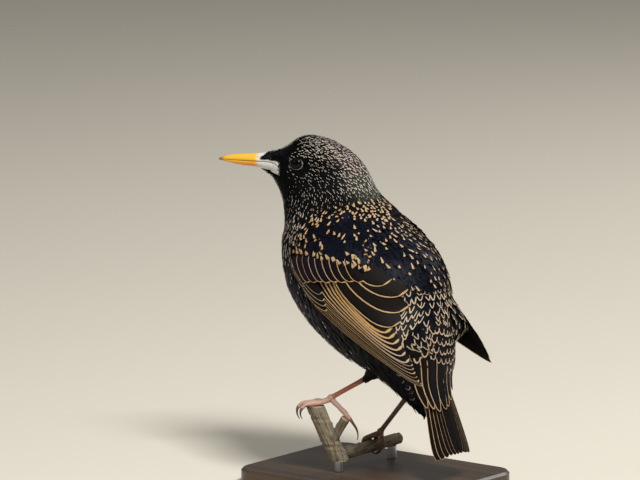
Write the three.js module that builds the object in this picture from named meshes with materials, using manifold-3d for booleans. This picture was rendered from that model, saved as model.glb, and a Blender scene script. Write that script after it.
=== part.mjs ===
import * as THREE from 'three';
import { mergeVertices } from 'three/addons/utils/BufferGeometryUtils.js';
import Module from 'manifold-3d';

const wasm = await Module();
wasm.setup();

// A common starling standing on a cut hedge stem, life size, in millimetres.
// The bird's own frame has -X forward, -Y to its left and +Z up, with its datum in the middle of the trunk.
// The model's origin is the centre of the underside of the display base.

const GAP = 0.3;
const BASE = { length: 118, width: 88, thickness: 8, corner: 10, chamfer: 1.2 };
const BASE_TOP_BELOW_DATUM = 113;
const BASE_AHEAD_OF_DATUM = -12;
const DATUM = new THREE.Vector3(BASE_AHEAD_OF_DATUM, 0, BASE_TOP_BELOW_DATUM + BASE.thickness);

// Level sections of head, neck, trunk and tail root, from the crown down. In each row: height, foremost point,
// rearmost point, place of the widest point, half width, and how much the front narrows towards the bill.
const SECTIONS = [
  [57.6, -28.5, -28.5, -28.5, 0, 0],
  [56.8, -33, -22.2, -27.5, 4.6, 0],
  [54.8, -36.8, -16, -25, 7.8, 0],
  [52.4, -40, -11.6, -24, 9.8, 0.1],
  [49.7, -45.2, -7.4, -23, 11.5, 0.25],
  [47.2, -52, -4.3, -22.5, 12.3, 0.45],
  [44, -51.5, -1.4, -22, 12.9, 0.5],
  [40.5, -51.5, 1, -22, 13.2, 0.5],
  [36.3, -48.4, 3.2, -21.5, 14.2, 0.3],
  [30.5, -45.2, 6.2, -20, 16.6, 0.1],
  [25.7, -43.3, 10.8, -17.5, 19.8, 0],
  [19, -41.8, 20, -12.5, 24.5, 0],
  [10.9, -40.8, 32, -5.2, 28.6, 0],
  [5, -42, 40, -2, 30.4, 0],
  [-0.9, -42.4, 45.8, 0.8, 31.6, 0],
  [-12.9, -40.8, 52.2, 5.2, 32.4, 0],
  [-24.9, -36.4, 54.2, 11.5, 31.4, 0],
  [-39.7, -25, 55, 28, 28, 0],
  [-51.4, -8.2, 54.4, 38.5, 24.2, 0],
  [-57.4, 7, 53.8, 41.5, 21.6, 0],
  [-61, 15.5, 53.4, 43, 19.6, 0],
  [-65, 22.5, 53.4, 45, 17, 0],
  [-71, 32, 53.6, 47, 13.6, 0],
  [-77, 41.5, 53, 49, 8.8, 0],
  [-80, 50, 50, 50, 0, 0],
];
const HEIGHT = 0;
const FRONT = 1;
const BACK = 2;
const WIDEST = 3;
const HALF_WIDTH = 4;
const NARROWING = 5;
const LAST_SECTION = SECTIONS.length - 1;

// The head is turned to the bird's left about an upright line through the neck.
const HEAD_TURN = THREE.MathUtils.degToRad(30);
const TURN_AXIS = -20;
const TURN_STARTS = 8;
const TURN_ENDS = 36;

const HEAD_CUT = 34;
const NECK_CUT = 15;

const EYE = { ahead: 13.9, height: 44.3, radius: 3.6, sunk: 2.35, lid: 0.55, ring: 3.05 };

// The bill, measured ahead of the turn axis: distance, top of the ridge, mouth line, underside, half width.
const BILL_SECTIONS = [
  [22.5, 50, 40.2, 37.4, 5.3],
  [26.5, 49.2, 43, 38.2, 5.1],
  [30, 48.5, 43.8, 39, 4.7],
  [33, 47.8, 43.9, 39.8, 4.3],
  [38, 47.3, 43.9, 40.9, 3.6],
  [44, 47, 44, 41.4, 2.8],
  [50, 46.3, 44.1, 42.6, 1.8],
  [54.2, 45.1, 44.15, 43.6, 0.8],
];
const BILL_TIP = { ahead: 55.9, upper: 44.4, lower: 43.9 };

const LEG = {
  left: { hip: [27, -10, -52], ankle: [17, -13.1, -62.5], foot: [-1.7, -20.3, -74.5] },
  right: { hip: [28, 11, -50], ankle: [24, 12, -75], foot: [5, 13, -97] },
};

const deg = THREE.MathUtils.degToRad;
const vec = (x, y, z) => new THREE.Vector3(x, y, z);

function between(a, b, t) {
  return a.map((value, k) => value + (b[k] - value) * t);
}

// A value between rows of a table, on a smooth curve through the rows. At the closed ends a height is
// mirrored and a size runs through nought, so the form ends in a dome.
function along(table, column, u) {
  const last = table.length - 1;
  const row = Math.min(Math.floor(u), last - 1);
  const t = u - row;
  const value = (k) => {
    if (k >= 0 && k <= last) return table[k][column];
    const end = k < 0 ? 0 : last;
    const inner = k < 0 ? 1 : last - 1;
    return column === HEIGHT ? table[inner][column] : 2 * table[end][column] - table[inner][column];
  };
  const [a, b, c, d] = [value(row - 1), value(row), value(row + 1), value(row + 2)];
  return b + 0.5 * t * (c - a + t * (2 * a - 5 * b + 4 * c - d + t * (3 * (b - c) + d - a)));
}

// The place in the table of sections at a given height, by halving.
function sectionAt(height) {
  let above = 0;
  let below = LAST_SECTION;
  for (let i = 0; i < 40; i += 1) {
    const middle = (above + below) / 2;
    if (along(SECTIONS, HEIGHT, middle) > height) above = middle;
    else below = middle;
  }
  return (above + below) / 2;
}

function headTurnAt(height) {
  return HEAD_TURN * THREE.MathUtils.smoothstep(height, TURN_STARTS, TURN_ENDS);
}

function turned(x, y, z, angle) {
  const dx = x - TURN_AXIS;
  return vec(
    TURN_AXIS + dx * Math.cos(angle) - y * Math.sin(angle),
    dx * Math.sin(angle) + y * Math.cos(angle),
    z,
  );
}

// A point of the body at section u and angle around it: 0 is the back, a quarter turn the left side.
function bodyPoint(u, angle) {
  const [z, front, back, widest, half, narrowing] =
    [HEIGHT, FRONT, BACK, WIDEST, HALF_WIDTH, NARROWING].map((column) => along(SECTIONS, column, u));
  const c = Math.cos(angle);
  const reach = c > 0 ? back - widest : widest - front;
  const waist = c > 0 ? 1 : 1 - narrowing * c ** 4;
  return turned(widest + reach * c, -half * Math.sin(angle) * waist, z, headTurnAt(z));
}

// The same point moved outwards along the surface's normal.
function grownBodyPoint(u, angle, grow) {
  const step = 0.01;
  const u0 = THREE.MathUtils.clamp(u, step, LAST_SECTION - step);
  const down = bodyPoint(u0 + step, angle).sub(bodyPoint(u0 - step, angle));
  const round = bodyPoint(u0, angle + step).sub(bodyPoint(u0, angle - step));
  return bodyPoint(u, angle).addScaledVector(round.cross(down).normalize(), grow);
}

// A closed geometry from points and triangles, with its faces turned outwards.
function closed(points, faces) {
  let volume = 0;
  for (const [a, b, c] of faces) {
    volume += points[a].dot(points[b].clone().cross(points[c]));
  }
  const outward = volume < 0 ? faces.map(([a, b, c]) => [a, c, b]) : faces;
  return new wasm.Manifold(new wasm.Mesh({
    numProp: 3,
    vertProperties: new Float32Array(points.flatMap((p) => p.toArray())),
    triVerts: new Uint32Array(outward.flat()),
  }));
}

// A closed form through rings of points, each end closed by a fan to its pole or to the ring's middle.
function loft(rings, startPole, endPole) {
  const count = rings[0].length;
  const middle = (ring) => ring.reduce((sum, p) => sum.add(p), vec(0, 0, 0)).divideScalar(count);
  const points = rings.flat();
  const faces = [];
  for (let r = 0; r < rings.length - 1; r += 1) {
    for (let i = 0; i < count; i += 1) {
      const a = r * count + i;
      const b = r * count + ((i + 1) % count);
      faces.push([a, b, b + count], [a, b + count, a + count]);
    }
  }
  const start = points.push(startPole ?? middle(rings[0])) - 1;
  const end = points.push(endPole ?? middle(rings.at(-1))) - 1;
  const base = (rings.length - 1) * count;
  for (let i = 0; i < count; i += 1) {
    const next = (i + 1) % count;
    faces.push([start, next, i], [end, base + i, base + next]);
  }
  return closed(points, faces);
}

// The body between two heights, closed flat at each cut, or with its dome where a height is left out.
function bodyBetween(top, bottom, rows, segments, grow = 0) {
  const first = top === null ? 0 : sectionAt(top);
  const last = bottom === null ? LAST_SECTION : sectionAt(bottom);
  const rings = [];
  for (let r = 0; r <= rows; r += 1) {
    const isPole = (r === 0 && top === null) || (r === rows && bottom === null);
    if (isPole) continue;
    const u = first + ((last - first) * r) / rows;
    rings.push(Array.from({ length: segments }, (_, i) =>
      grownBodyPoint(u, (i / segments) * 2 * Math.PI, grow)));
  }
  const pole = (u, way) => bodyPoint(u, 0).add(vec(0, 0, way * grow));
  return loft(rings, top === null ? pole(0, 1) : null, bottom === null ? pole(LAST_SECTION, -1) : null);
}

function join(solids) {
  return solids.reduce((sum, solid) => sum.add(solid));
}

// Only the largest closed surface of a solid.
function whole(solid) {
  return solid.decompose().reduce((best, piece) => (piece.volume() > best.volume() ? piece : best));
}

// A three.js geometry as a solid.
function solidOf(geometry) {
  const plain = geometry.clone();
  plain.deleteAttribute('normal');
  plain.deleteAttribute('uv');
  const merged = mergeVertices(plain, 1e-4);
  return new wasm.Manifold(new wasm.Mesh({
    numProp: 3,
    vertProperties: merged.attributes.position.array,
    triVerts: new Uint32Array(merged.index.array),
  }));
}

// A round limb through points, with a radius at each and both ends flat.
function limb(points, radii, sides = 8, grow = 0) {
  const path = points.map((p) => vec(...p));
  const rings = path.map((point, k) => {
    const before = path[Math.max(k - 1, 0)];
    const after = path[Math.min(k + 1, path.length - 1)];
    const way = after.clone().sub(before).normalize();
    const side = Math.abs(way.y) < 0.8 ? vec(0, 1, 0) : vec(1, 0, 0);
    const across = side.clone().cross(way).normalize();
    const over = way.clone().cross(across);
    const shift = (k === 0 ? -grow : 0) + (k === path.length - 1 ? grow : 0);
    return Array.from({ length: sides }, (_, i) => {
      const angle = (i / sides) * 2 * Math.PI;
      const radius = radii[k] + grow;
      return point.clone().addScaledVector(way, shift)
        .addScaledVector(across, Math.cos(angle) * radius)
        .addScaledVector(over, Math.sin(angle) * radius);
    });
  });
  return loft(rings);
}

// A point of the turned head: ahead of the turn axis, out to the left, and up.
function headPoint(ahead, left, height) {
  return turned(TURN_AXIS - ahead, -left, height, HEAD_TURN);
}

// Half the head's width at a place, from its sections.
function headHalfWidth(ahead, height) {
  const u = sectionAt(height);
  const widest = along(SECTIONS, WIDEST, u);
  const reach = widest - along(SECTIONS, FRONT, u);
  const c = (TURN_AXIS - ahead - widest) / reach;
  const waist = 1 - along(SECTIONS, NARROWING, u) * c ** 4;
  return along(SECTIONS, HALF_WIDTH, u) * Math.sqrt(1 - c * c) * waist;
}

// Where an eye looks, and the middle of its ball.
function eyePlace(side) {
  const out = headHalfWidth(EYE.ahead, EYE.height);
  const surface = headPoint(EYE.ahead, side * out, EYE.height);
  const gaze = headPoint(EYE.ahead + 2.6, side * (out + 10), EYE.height + 0.9).sub(surface).normalize();
  return { surface, gaze, middle: surface.clone().addScaledVector(gaze, -EYE.sunk) };
}

function eyeBall(side, grow = 0) {
  const ball = new THREE.SphereGeometry(EYE.radius + grow, 14, 10);
  const { middle } = eyePlace(side);
  ball.translate(middle.x, middle.y, middle.z);
  return solidOf(ball);
}

// A ring of lids round an eye, raised on the head.
function lids(side) {
  const { surface, gaze } = eyePlace(side);
  const ring = new THREE.TorusGeometry(EYE.ring, EYE.lid, 5, 16);
  ring.scale(1, 0.88, 1);
  ring.applyQuaternion(new THREE.Quaternion().setFromUnitVectors(vec(0, 0, 1), gaze));
  ring.translate(surface.x, surface.y, surface.z);
  return solidOf(ring);
}

// One half of the bill: rings with a flat side on the mouth line and an arch above or below it.
function billHalf(upper) {
  const arch = 8;
  const mouthGap = GAP / 2;
  const rings = BILL_SECTIONS.map(([ahead, top, mouth, under, half]) =>
    Array.from({ length: arch + 1 }, (_, i) => {
      const angle = (i / arch) * Math.PI;
      const rise = upper ? top - mouth : under - mouth;
      const height = mouth + (upper ? mouthGap : -mouthGap) + rise * Math.sin(angle) ** 0.8;
      return headPoint(ahead, Math.cos(angle) * half * (upper ? 1 : 0.94), height);
    }));
  const tip = headPoint(BILL_TIP.ahead, 0, upper ? BILL_TIP.upper : BILL_TIP.lower);
  return loft(rings, null, tip);
}

// The two nostrils, shallow slits cut in the sides of the upper bill just ahead of the feathers.
function nostrils() {
  return join([1, -1].map((side) => {
    const pit = new THREE.SphereGeometry(1, 10, 8);
    pit.scale(1.3, 0.55, 0.42);
    pit.rotateZ(HEAD_TURN);
    const place = headPoint(35.2, side * 3.35, 45.7);
    pit.translate(place.x, place.y, place.z);
    return solidOf(pit);
  }));
}

const plumage = new THREE.MeshStandardMaterial({ color: 0x14161c, roughness: 0.55, metalness: 0 });
const billYellow = new THREE.MeshStandardMaterial({ color: 0xe8b020, roughness: 0.4, metalness: 0 });
const eyeBrown = new THREE.MeshStandardMaterial({ color: 0x120b08, roughness: 0.08, metalness: 0 });
const legRed = new THREE.MeshStandardMaterial({ color: 0xa8604a, roughness: 0.6, metalness: 0 });
const clawHorn = new THREE.MeshStandardMaterial({ color: 0x3a2a24, roughness: 0.45, metalness: 0 });
const bark = new THREE.MeshStandardMaterial({ color: 0x8c7a58, roughness: 0.85, metalness: 0 });
const standPaint = new THREE.MeshStandardMaterial({ color: 0x2b2b2d, roughness: 0.5, metalness: 0 });
const rodSteel = new THREE.MeshStandardMaterial({ color: 0x9a9a9c, roughness: 0.35, metalness: 0.9 });

const model = new THREE.Group();
const bird = new THREE.Group();
bird.position.copy(DATUM);
model.add(bird);

const SHORTEST_EDGE = 0.03;

// A closed mesh without very short edges: each is drawn together to one point, where the mesh stays closed.
function withoutShortEdges(points, triangles) {
  const faces = [...triangles];
  const around = points.map(() => new Set());
  faces.forEach((face, f) => face.forEach((v) => around[v].add(f)));
  const neighbours = (v) => new Set([...around[v]].flatMap((f) => faces[f]));
  const isShort = (a, b) => points[a].distanceTo(points[b]) < SHORTEST_EDGE;
  const keepsClosed = (a, b) => {
    const beside = neighbours(b);
    return [...neighbours(a)].filter((v) => v !== a && v !== b && beside.has(v)).length === 2;
  };
  const draw = (a, b) => {
    for (const f of around[b]) {
      if (faces[f].includes(a)) {
        faces[f].forEach((v) => v !== b && around[v].delete(f));
        faces[f] = null;
      } else {
        faces[f] = faces[f].map((v) => (v === b ? a : v));
        around[a].add(f);
      }
    }
    around[b].clear();
  };
  let found = true;
  while (found) {
    found = false;
    for (let f = 0; f < faces.length; f += 1) {
      const ends = faces[f] && [0, 1, 2].map((k) => [faces[f][k], faces[f][(k + 1) % 3]])
        .find(([a, b]) => isShort(a, b) && keepsClosed(a, b));
      if (ends) {
        draw(...ends);
        found = true;
      }
    }
  }
  return faces.filter((face) => face);
}

function place(parent, name, solid, material) {
  const { vertProperties, triVerts, numProp } = whole(solid).getMesh();
  const points = Array.from({ length: vertProperties.length / numProp }, (_, i) =>
    vec(...vertProperties.subarray(i * numProp, i * numProp + 3)));
  const triangles = Array.from({ length: triVerts.length / 3 }, (_, i) =>
    [...triVerts.subarray(i * 3, i * 3 + 3)]);
  const corners = withoutShortEdges(points, triangles).flat().flatMap((v) => points[v].toArray());
  const loose = new THREE.BufferGeometry();
  loose.setAttribute('position', new THREE.Float32BufferAttribute(corners, 3));
  const mesh = new THREE.Mesh(mergeVertices(loose, 1e-4), material);
  mesh.geometry.computeVertexNormals();
  mesh.name = name;
  parent.add(mesh);
}

const SIDES = { left: 1, right: -1 };

// Neighbours are cut clear of the head and the trunk by these, which are larger by the gap.
const headGrown = bodyBetween(null, HEAD_CUT - 6, 24, 32, GAP);
const trunkGrown = bodyBetween(NECK_CUT + 12, null, 30, 36, GAP);

// The wing's outer face, as the distance from the middle plane at a place seen from the side. It clears the
// trunk, and behind it runs on as a shallow vault to the wing's tip.
const WING = { clear: 2.9, ridge: 33, lift: -6, arch: 0.05, along: 0.0016, middle: 40, slope: deg(37) };
const WRIST = [-18, 8];
const WING_POSE = {
  left: { raise: 0, spread: 0 },
  right: { raise: deg(2.6), spread: -3 },
};

// The wing's core under the feathers, from its bend back: a place on the lower edge and one on the upper.
const WING_CORE = [
  [-20.5, 7, -14, 15],
  [-20.5, -3, -3, 18.5],
  [-17, -9, 11, 17],
  [-8, -13, 25, 9],
  [6, -22, 35, -5],
  [20, -31, 40, -18],
  [31, -38, 42, -27],
];
const CORE = { columns: 5, top: -0.15, under: -2.7, thinned: 0.5 };

// The tiers of wing feathers. Each runs from its first feather to its last in even steps, with the roots and
// tips as places in side view. Bow is how far a feather bends towards the wing's lower edge, tilt how far that
// edge is raised, and settle how far the tip comes down.
const FEATHER_TIERS = [
  { count: 7, roots: [[-13, -10.5], [-2, -8]], tips: [[63.8, -58.6], [58.8, -48.6]], half: [3.3, 3.8],
    bow: [3.2, 2.2], height: 0.1, tilt: 0.5, thickness: 0.8, settle: 0, tipShare: 0.16 },
  { count: 6, roots: [[0, -8], [13, -3]], tips: [[57, -46.6], [44.6, -32.4]], half: [3.8, 4.2],
    bow: [2.2, 2.8], height: 0.1, tilt: 0.5, thickness: 0.8, settle: 0, tipShare: 0.42 },
  { count: 3, roots: [[12, -1], [22, 4]], tips: [[46.8, -29], [41, -14.8]], half: [5, 5.4],
    bow: [3, 3.6], height: 1.1, tilt: 0.4, thickness: 1.4, settle: 0.5, tipShare: 0.4 },
  { count: 4, roots: [[-18, -4], [-9, -8]], tips: [[-9.4, -14.6], [6.5, -25]], half: [2.4, 2.6],
    bow: [0.6, 0.8], height: 1.1, tilt: 0.2, thickness: 1.3, settle: 0.2, tipShare: 0.4 },
  { count: 8, roots: [[-18.5, 2], [20, 8]], tips: [[-9.5, -12.6], [28.5, -8.4]], half: [3.7, 4],
    bow: [0.8, 1.6], height: 2, tilt: 0.3, thickness: 2.1, settle: 0.5, tipShare: 0.5 },
];
const VANE = { rows: [0, 0.35, 0.68, 0.86, 0.95, 1], widths: [0.6, 0.95, 1, 0.88, 0.64] };

function trunkHalfWidth(x, z) {
  const u = sectionAt(z);
  const widest = along(SECTIONS, WIDEST, u);
  const reach = x > widest ? along(SECTIONS, BACK, u) - widest : widest - along(SECTIONS, FRONT, u);
  const c = Math.min(Math.abs(x - widest) / reach, 1);
  return along(SECTIONS, HALF_WIDTH, u) * Math.sqrt(1 - c * c);
}

function wingFace(x, z) {
  const s = x * Math.cos(WING.slope) - z * Math.sin(WING.slope);
  const t = x * Math.sin(WING.slope) + z * Math.cos(WING.slope);
  const vault = WING.ridge - WING.along * (s - WING.middle) ** 2 - WING.arch * (t - WING.lift) ** 2;
  const over = trunkHalfWidth(x, z) + WING.clear;
  const ease = 2;
  return 0.5 * (vault + over + Math.hypot(vault - over, ease));
}

// A point of a folded wing: its place in side view and its height above the wing's face.
function wingPoint(name, x, z, height) {
  const { raise, spread } = WING_POSE[name];
  const dx = x - WRIST[0];
  const dz = z - WRIST[1];
  const px = WRIST[0] + dx * Math.cos(raise) - dz * Math.sin(raise);
  const pz = WRIST[1] + dx * Math.sin(raise) + dz * Math.cos(raise);
  const out = spread * (Math.hypot(dx, dz) / 100) ** 2;
  return vec(px, -SIDES[name] * (wingFace(px, pz) + height + out), pz);
}

// A closed slab between two grids of points of one size, both split into the same triangles.
function slab(top, under) {
  const rows = top.length;
  const columns = top[0].length;
  const points = [...top.flat(), ...under.flat()];
  const over = (r, k) => r * columns + k;
  const below = (r, k) => rows * columns + r * columns + k;
  const faces = [];
  for (let r = 0; r < rows - 1; r += 1) {
    for (let k = 0; k < columns - 1; k += 1) {
      faces.push([over(r, k), over(r, k + 1), over(r + 1, k + 1)]);
      faces.push([over(r, k), over(r + 1, k + 1), over(r + 1, k)]);
      faces.push([below(r, k), below(r + 1, k + 1), below(r, k + 1)]);
      faces.push([below(r, k), below(r + 1, k), below(r + 1, k + 1)]);
    }
  }
  const rim = [
    ...Array.from({ length: columns }, (_, k) => [0, k]),
    ...Array.from({ length: rows - 1 }, (_, r) => [r + 1, columns - 1]),
    ...Array.from({ length: columns - 1 }, (_, k) => [rows - 1, columns - 2 - k]),
    ...Array.from({ length: rows - 2 }, (_, r) => [rows - 2 - r, 0]),
  ];
  rim.forEach((here, i) => {
    const next = rim[(i + 1) % rim.length];
    faces.push([over(...here), below(...here), below(...next)], [over(...here), below(...next), over(...next)]);
  });
  return closed(points, faces);
}

function wingCore(name) {
  const grid = (height) => WING_CORE.map(([x0, z0, x1, z1]) =>
    Array.from({ length: CORE.columns + 1 }, (_, k) => {
      const t = k / CORE.columns;
      const edge = Math.abs(2 * t - 1) ** 3;
      const depth = height + (CORE.under - height) * CORE.thinned * edge;
      return wingPoint(name, x0 + (x1 - x0) * t, z0 + (z1 - z0) * t, depth);
    }));
  return slab(grid(CORE.top), grid(CORE.under));
}

// One flat feather: along its shaft from root to tip, bowed to one side, with one edge raised over its
// neighbour. The surface gives a point from a flat place and a height.
function vane(surface, { root, tip, half, bow, height, tilt, thickness, settle, tipShare }) {
  const [dx, dz] = [tip[0] - root[0], tip[1] - root[1]];
  const length = Math.hypot(dx, dz);
  const side = [dz / length, -dx / length];
  const widths = [...VANE.widths, tipShare];
  const grid = (drop) => VANE.rows.map((t, r) => [-1, 1].map((across) => {
    const off = bow * 4 * t * (1 - t) + across * half * widths[r];
    const level = height + tilt * across - settle * t * t - drop;
    return surface(root[0] + dx * t + side[0] * off, root[1] + dz * t + side[1] * off, level);
  }));
  return slab(grid(0), grid(thickness));
}

function wingFeathers(name) {
  const surface = (x, z, height) => wingPoint(name, x, z, height);
  return FEATHER_TIERS.flatMap((tier) => Array.from({ length: tier.count }, (_, k) => {
    const t = k / (tier.count - 1);
    return vane(surface, {
      ...tier,
      root: between(...tier.roots, t),
      tip: between(...tier.tips, t),
      half: tier.half[0] + (tier.half[1] - tier.half[0]) * t,
      bow: tier.bow[0] + (tier.bow[1] - tier.bow[0]) * t,
    });
  }));
}

for (const name of Object.keys(SIDES)) {
  const wing = join([wingCore(name), ...wingFeathers(name)]);
  place(bird, `wing_${name}`, wing.subtract(trunkGrown), plumage);
}

// The tail: its root, the way it hangs, how it is carried a little to the right, and a fan of feathers of
// which the middle pair lies on top.
const TAIL = { root: [51.5, -58], hang: deg(72), arch: 1 / 60, drift: 0.06 };
const TAIL_FEATHERS = { pairs: 6, root: 3, length: 40.5, notch: 1.2, rootStep: 1.3, tipStep: 2.45, half: 3.3,
  stack: 0.36, tipShare: 0.5 };
const TAIL_SEAT = { top: 2.6, bottom: 26, halfAtTop: 10.4, halfAtBottom: 16, over: 8, under: 3.4 };

function tailPoint(down, side, height) {
  const lift = height - TAIL.arch * side * side;
  return vec(
    TAIL.root[0] + down * Math.cos(TAIL.hang) + lift * Math.sin(TAIL.hang),
    side + down * TAIL.drift,
    TAIL.root[1] - down * Math.sin(TAIL.hang) + lift * Math.cos(TAIL.hang),
  );
}

function tailFeathers() {
  const { pairs, root, length, notch, rootStep, tipStep, half, stack, tipShare } = TAIL_FEATHERS;
  return Array.from({ length: 2 * pairs }, (_, k) => {
    const place = k - pairs + 0.5;
    const out = Math.abs(place) / pairs;
    return vane((down, side, height) => tailPoint(down, side, height), {
      root: [root, place * rootStep],
      tip: [root + length + notch * (out - 1), place * tipStep],
      half,
      bow: 0,
      height: -stack * (Math.abs(place) + (place > 0 ? 0.5 : 0)),
      tilt: 0,
      thickness: 0.8,
      settle: 0,
      tipShare,
    });
  });
}

// The seat in the trunk's end that the roots of the tail feathers lie in.
function tailSeat() {
  const { top, bottom, halfAtTop, halfAtBottom, over, under } = TAIL_SEAT;
  const grid = (height) => [[top, halfAtTop], [bottom, halfAtBottom]].map(([down, half]) =>
    [-1, -0.5, 0, 0.5, 1].map((across) => tailPoint(down, across * half, height)));
  return slab(grid(over), grid(-under));
}

place(bird, 'tail', join(tailFeathers()), plumage);

const headWithLids = join([bodyBetween(null, HEAD_CUT + GAP / 2, 16, 32), lids(1), lids(-1)]);
place(bird, 'head', headWithLids.subtract(eyeBall(1, GAP)).subtract(eyeBall(-1, GAP)), plumage);
place(bird, 'neck', bodyBetween(HEAD_CUT - GAP / 2, NECK_CUT + GAP / 2, 7, 36), plumage);
place(bird, 'torso', bodyBetween(NECK_CUT - GAP / 2, null, 24, 36).subtract(tailSeat()), plumage);
place(bird, 'upper_bill', billHalf(true).subtract(headGrown).subtract(nostrils()), billYellow);
place(bird, 'lower_bill', billHalf(false).subtract(headGrown), billYellow);
for (const [name, side] of Object.entries(SIDES)) {
  place(bird, `eye_${name}`, eyeBall(side), eyeBrown);
}

// A leg in three pieces: the feathered thigh, the bare tarsus and the foot.
const TARSUS_RADII = [1.9, 1.35, 1.2, 1.25, 1.6];

function thigh(name, grow = 0) {
  const { hip, ankle } = LEG[name];
  return limb([hip, between(hip, ankle, 0.5), between(hip, ankle, 0.85), ankle], [7, 5.4, 3.2, 2.2], 12, grow);
}

function tarsus(name, grow = 0) {
  const { ankle, foot } = LEG[name];
  const places = [0, 0.14, 0.5, 0.86, 1];
  return limb(places.map((t) => between(ankle, foot, t)), TARSUS_RADII, 8, grow);
}

// The toes of each foot from the joint out to the root of the claw, then the claw's curve.
const TOE_RADII = [1.5, 1.25, 1.35, 1.1, 1.15, 0.9];
const TOES = {
  left: {
    inner: {
      toe: [[-1.8, -20.7, -75.1], [-5, -23.8, -76.6], [-8, -27, -77], [-10.4, -29.4, -77.6],
        [-11.6, -30.8, -79.2]],
      claw: [[-12, -31.4, -80.4], [-11.9, -31.9, -82.6], [-10.8, -31.7, -84.8]],
    },
    middle: {
      toe: [[-2.3, -20.3, -75.3], [-6.5, -22.4, -76.7], [-10.5, -24.6, -77], [-14.2, -26.6, -77.6],
        [-16.4, -27.6, -79.4]],
      claw: [[-17, -28, -80.8], [-16.9, -28.2, -83.4], [-15.6, -27.8, -86]],
    },
    outer: {
      toe: [[-1.9, -19.9, -75], [-6.2, -19.6, -76.7], [-10, -19.6, -77], [-13, -19.8, -77.8],
        [-14.6, -20, -79.4]],
      claw: [[-15.1, -20.1, -80.6], [-15, -20.2, -82.8], [-13.8, -20.2, -85]],
    },
    hind: {
      toe: [[-0.6, -19.8, -75.4], [3, -19.4, -78.2], [6.8, -19, -81.2], [10.2, -18.6, -84.4]],
      claw: [[11.4, -18.5, -85.8], [13.8, -18.3, -88.8], [14.8, -18.2, -92], [14.2, -18.1, -94.8]],
    },
  },
  right: {
    inner: {
      toe: [[4.9, 12.3, -97.4], [1.4, 10.4, -98.9], [-1.6, 9, -100.8], [-2.5, 8.2, -103.4]],
      claw: [[-2.4, 8, -104.7], [-1.2, 7.8, -106.4], [0.6, 7.7, -107.2]],
    },
    middle: {
      toe: [[4.5, 13.1, -97.7], [1.5, 13.4, -98.8], [-1.8, 13.8, -100.4], [-2.9, 14, -103.2],
        [-2.3, 14.2, -105.8]],
      claw: [[-1.7, 14.2, -107.1], [0, 14.2, -108.7], [2, 14.2, -109.2]],
    },
    outer: {
      toe: [[5.1, 13.5, -97.5], [1.6, 16.2, -98.9], [-1.4, 18.2, -100.6], [-2.5, 19.4, -103.2]],
      claw: [[-2.4, 19.7, -104.5], [-1.2, 19.9, -106.2], [0.6, 20, -107]],
    },
    hind: {
      toe: [[5.5, 12.9, -97.9], [7.2, 12.4, -100], [7.6, 11.8, -103], [6.6, 11.4, -105.6]],
      claw: [[5.8, 11.3, -106.8], [4, 11.2, -108], [2, 11.2, -108.2]],
    },
  },
};

function foot(name, grow = 0) {
  const knuckle = limb([between(LEG[name].ankle, LEG[name].foot, 0.94), LEG[name].foot], [1.5, 1.9], 8, grow);
  return join([knuckle, ...Object.values(TOES[name]).map(({ toe }) =>
    limb(toe, TOE_RADII.slice(0, toe.length - 1).concat(0.9), 8, grow))]);
}

function claw(name, digit, grow = 0) {
  const { toe, claw: curve } = TOES[name][digit];
  const points = [toe.at(-1), ...curve];
  return limb(points, points.map((_, k) => 0.95 - (0.75 * k) / curve.length), 8, grow);
}

const footGrown = {};
for (const name of Object.keys(SIDES)) {
  place(bird, `thigh_${name}`, thigh(name).subtract(trunkGrown), plumage);
  place(bird, `tarsus_${name}`, tarsus(name).subtract(thigh(name, GAP)), legRed);
  place(bird, `foot_${name}`, foot(name).subtract(tarsus(name, GAP)), legRed);
  footGrown[name] = foot(name, GAP);
  for (const digit of Object.keys(TOES[name])) {
    place(bird, `claw_${name}_${digit}`, claw(name, digit).subtract(footGrown[name]), clawHorn);
    footGrown[name] = footGrown[name].add(claw(name, digit, GAP));
  }
}

// The perch: a cut hedge stem with a short side stub and a level side branch.
const STEM = { top: [-10.7, -26.2, -71.5], middle: [-3.3, -20.7, -93], bottom: [2, -16.7, -108.5] };
const STEM_CUT_TOP = -78.5;
const STEM_CUT_BOTTOM = -107;
const STUB = { root: [-2.6, -20.2, -100], tip: [7.4, -19, -84.2] };
const BRANCH = { root: [0, -18.3, -104.4], bend: [2.2, 6, -103.9], tip: [3.6, 31, -103.2] };
const ROD = { radius: 2.4, front: [1.4, -17.2, STEM_CUT_BOTTOM], back: [3.4, 25.5, -105.8] };
const SAW = 40;

function saw(x, y, z, width) {
  const block = new THREE.BoxGeometry(width, width, SAW);
  block.translate(x, y, z);
  return solidOf(block);
}

function perch() {
  const wood = join([
    limb([STEM.top, STEM.middle, STEM.bottom], [4.3, 4.6, 5], 10),
    limb([STUB.root, between(STUB.root, STUB.tip, 0.5), STUB.tip], [3, 2.5, 2.4], 8),
    limb([BRANCH.root, BRANCH.bend, BRANCH.tip], [3.6, 3.2, 3], 10),
  ]);
  return wood
    .subtract(saw(STEM.top[0], STEM.top[1], STEM_CUT_TOP + SAW / 2, SAW / 2))
    .subtract(saw(ROD.front[0], ROD.front[1], STEM_CUT_BOTTOM - SAW / 2, SAW / 2))
    .subtract(saw(ROD.back[0], ROD.back[1], ROD.back[2] - SAW / 2, 3 * ROD.radius))
    .subtract(footGrown.left)
    .subtract(footGrown.right);
}

place(bird, 'perch', perch(), bark);

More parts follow.
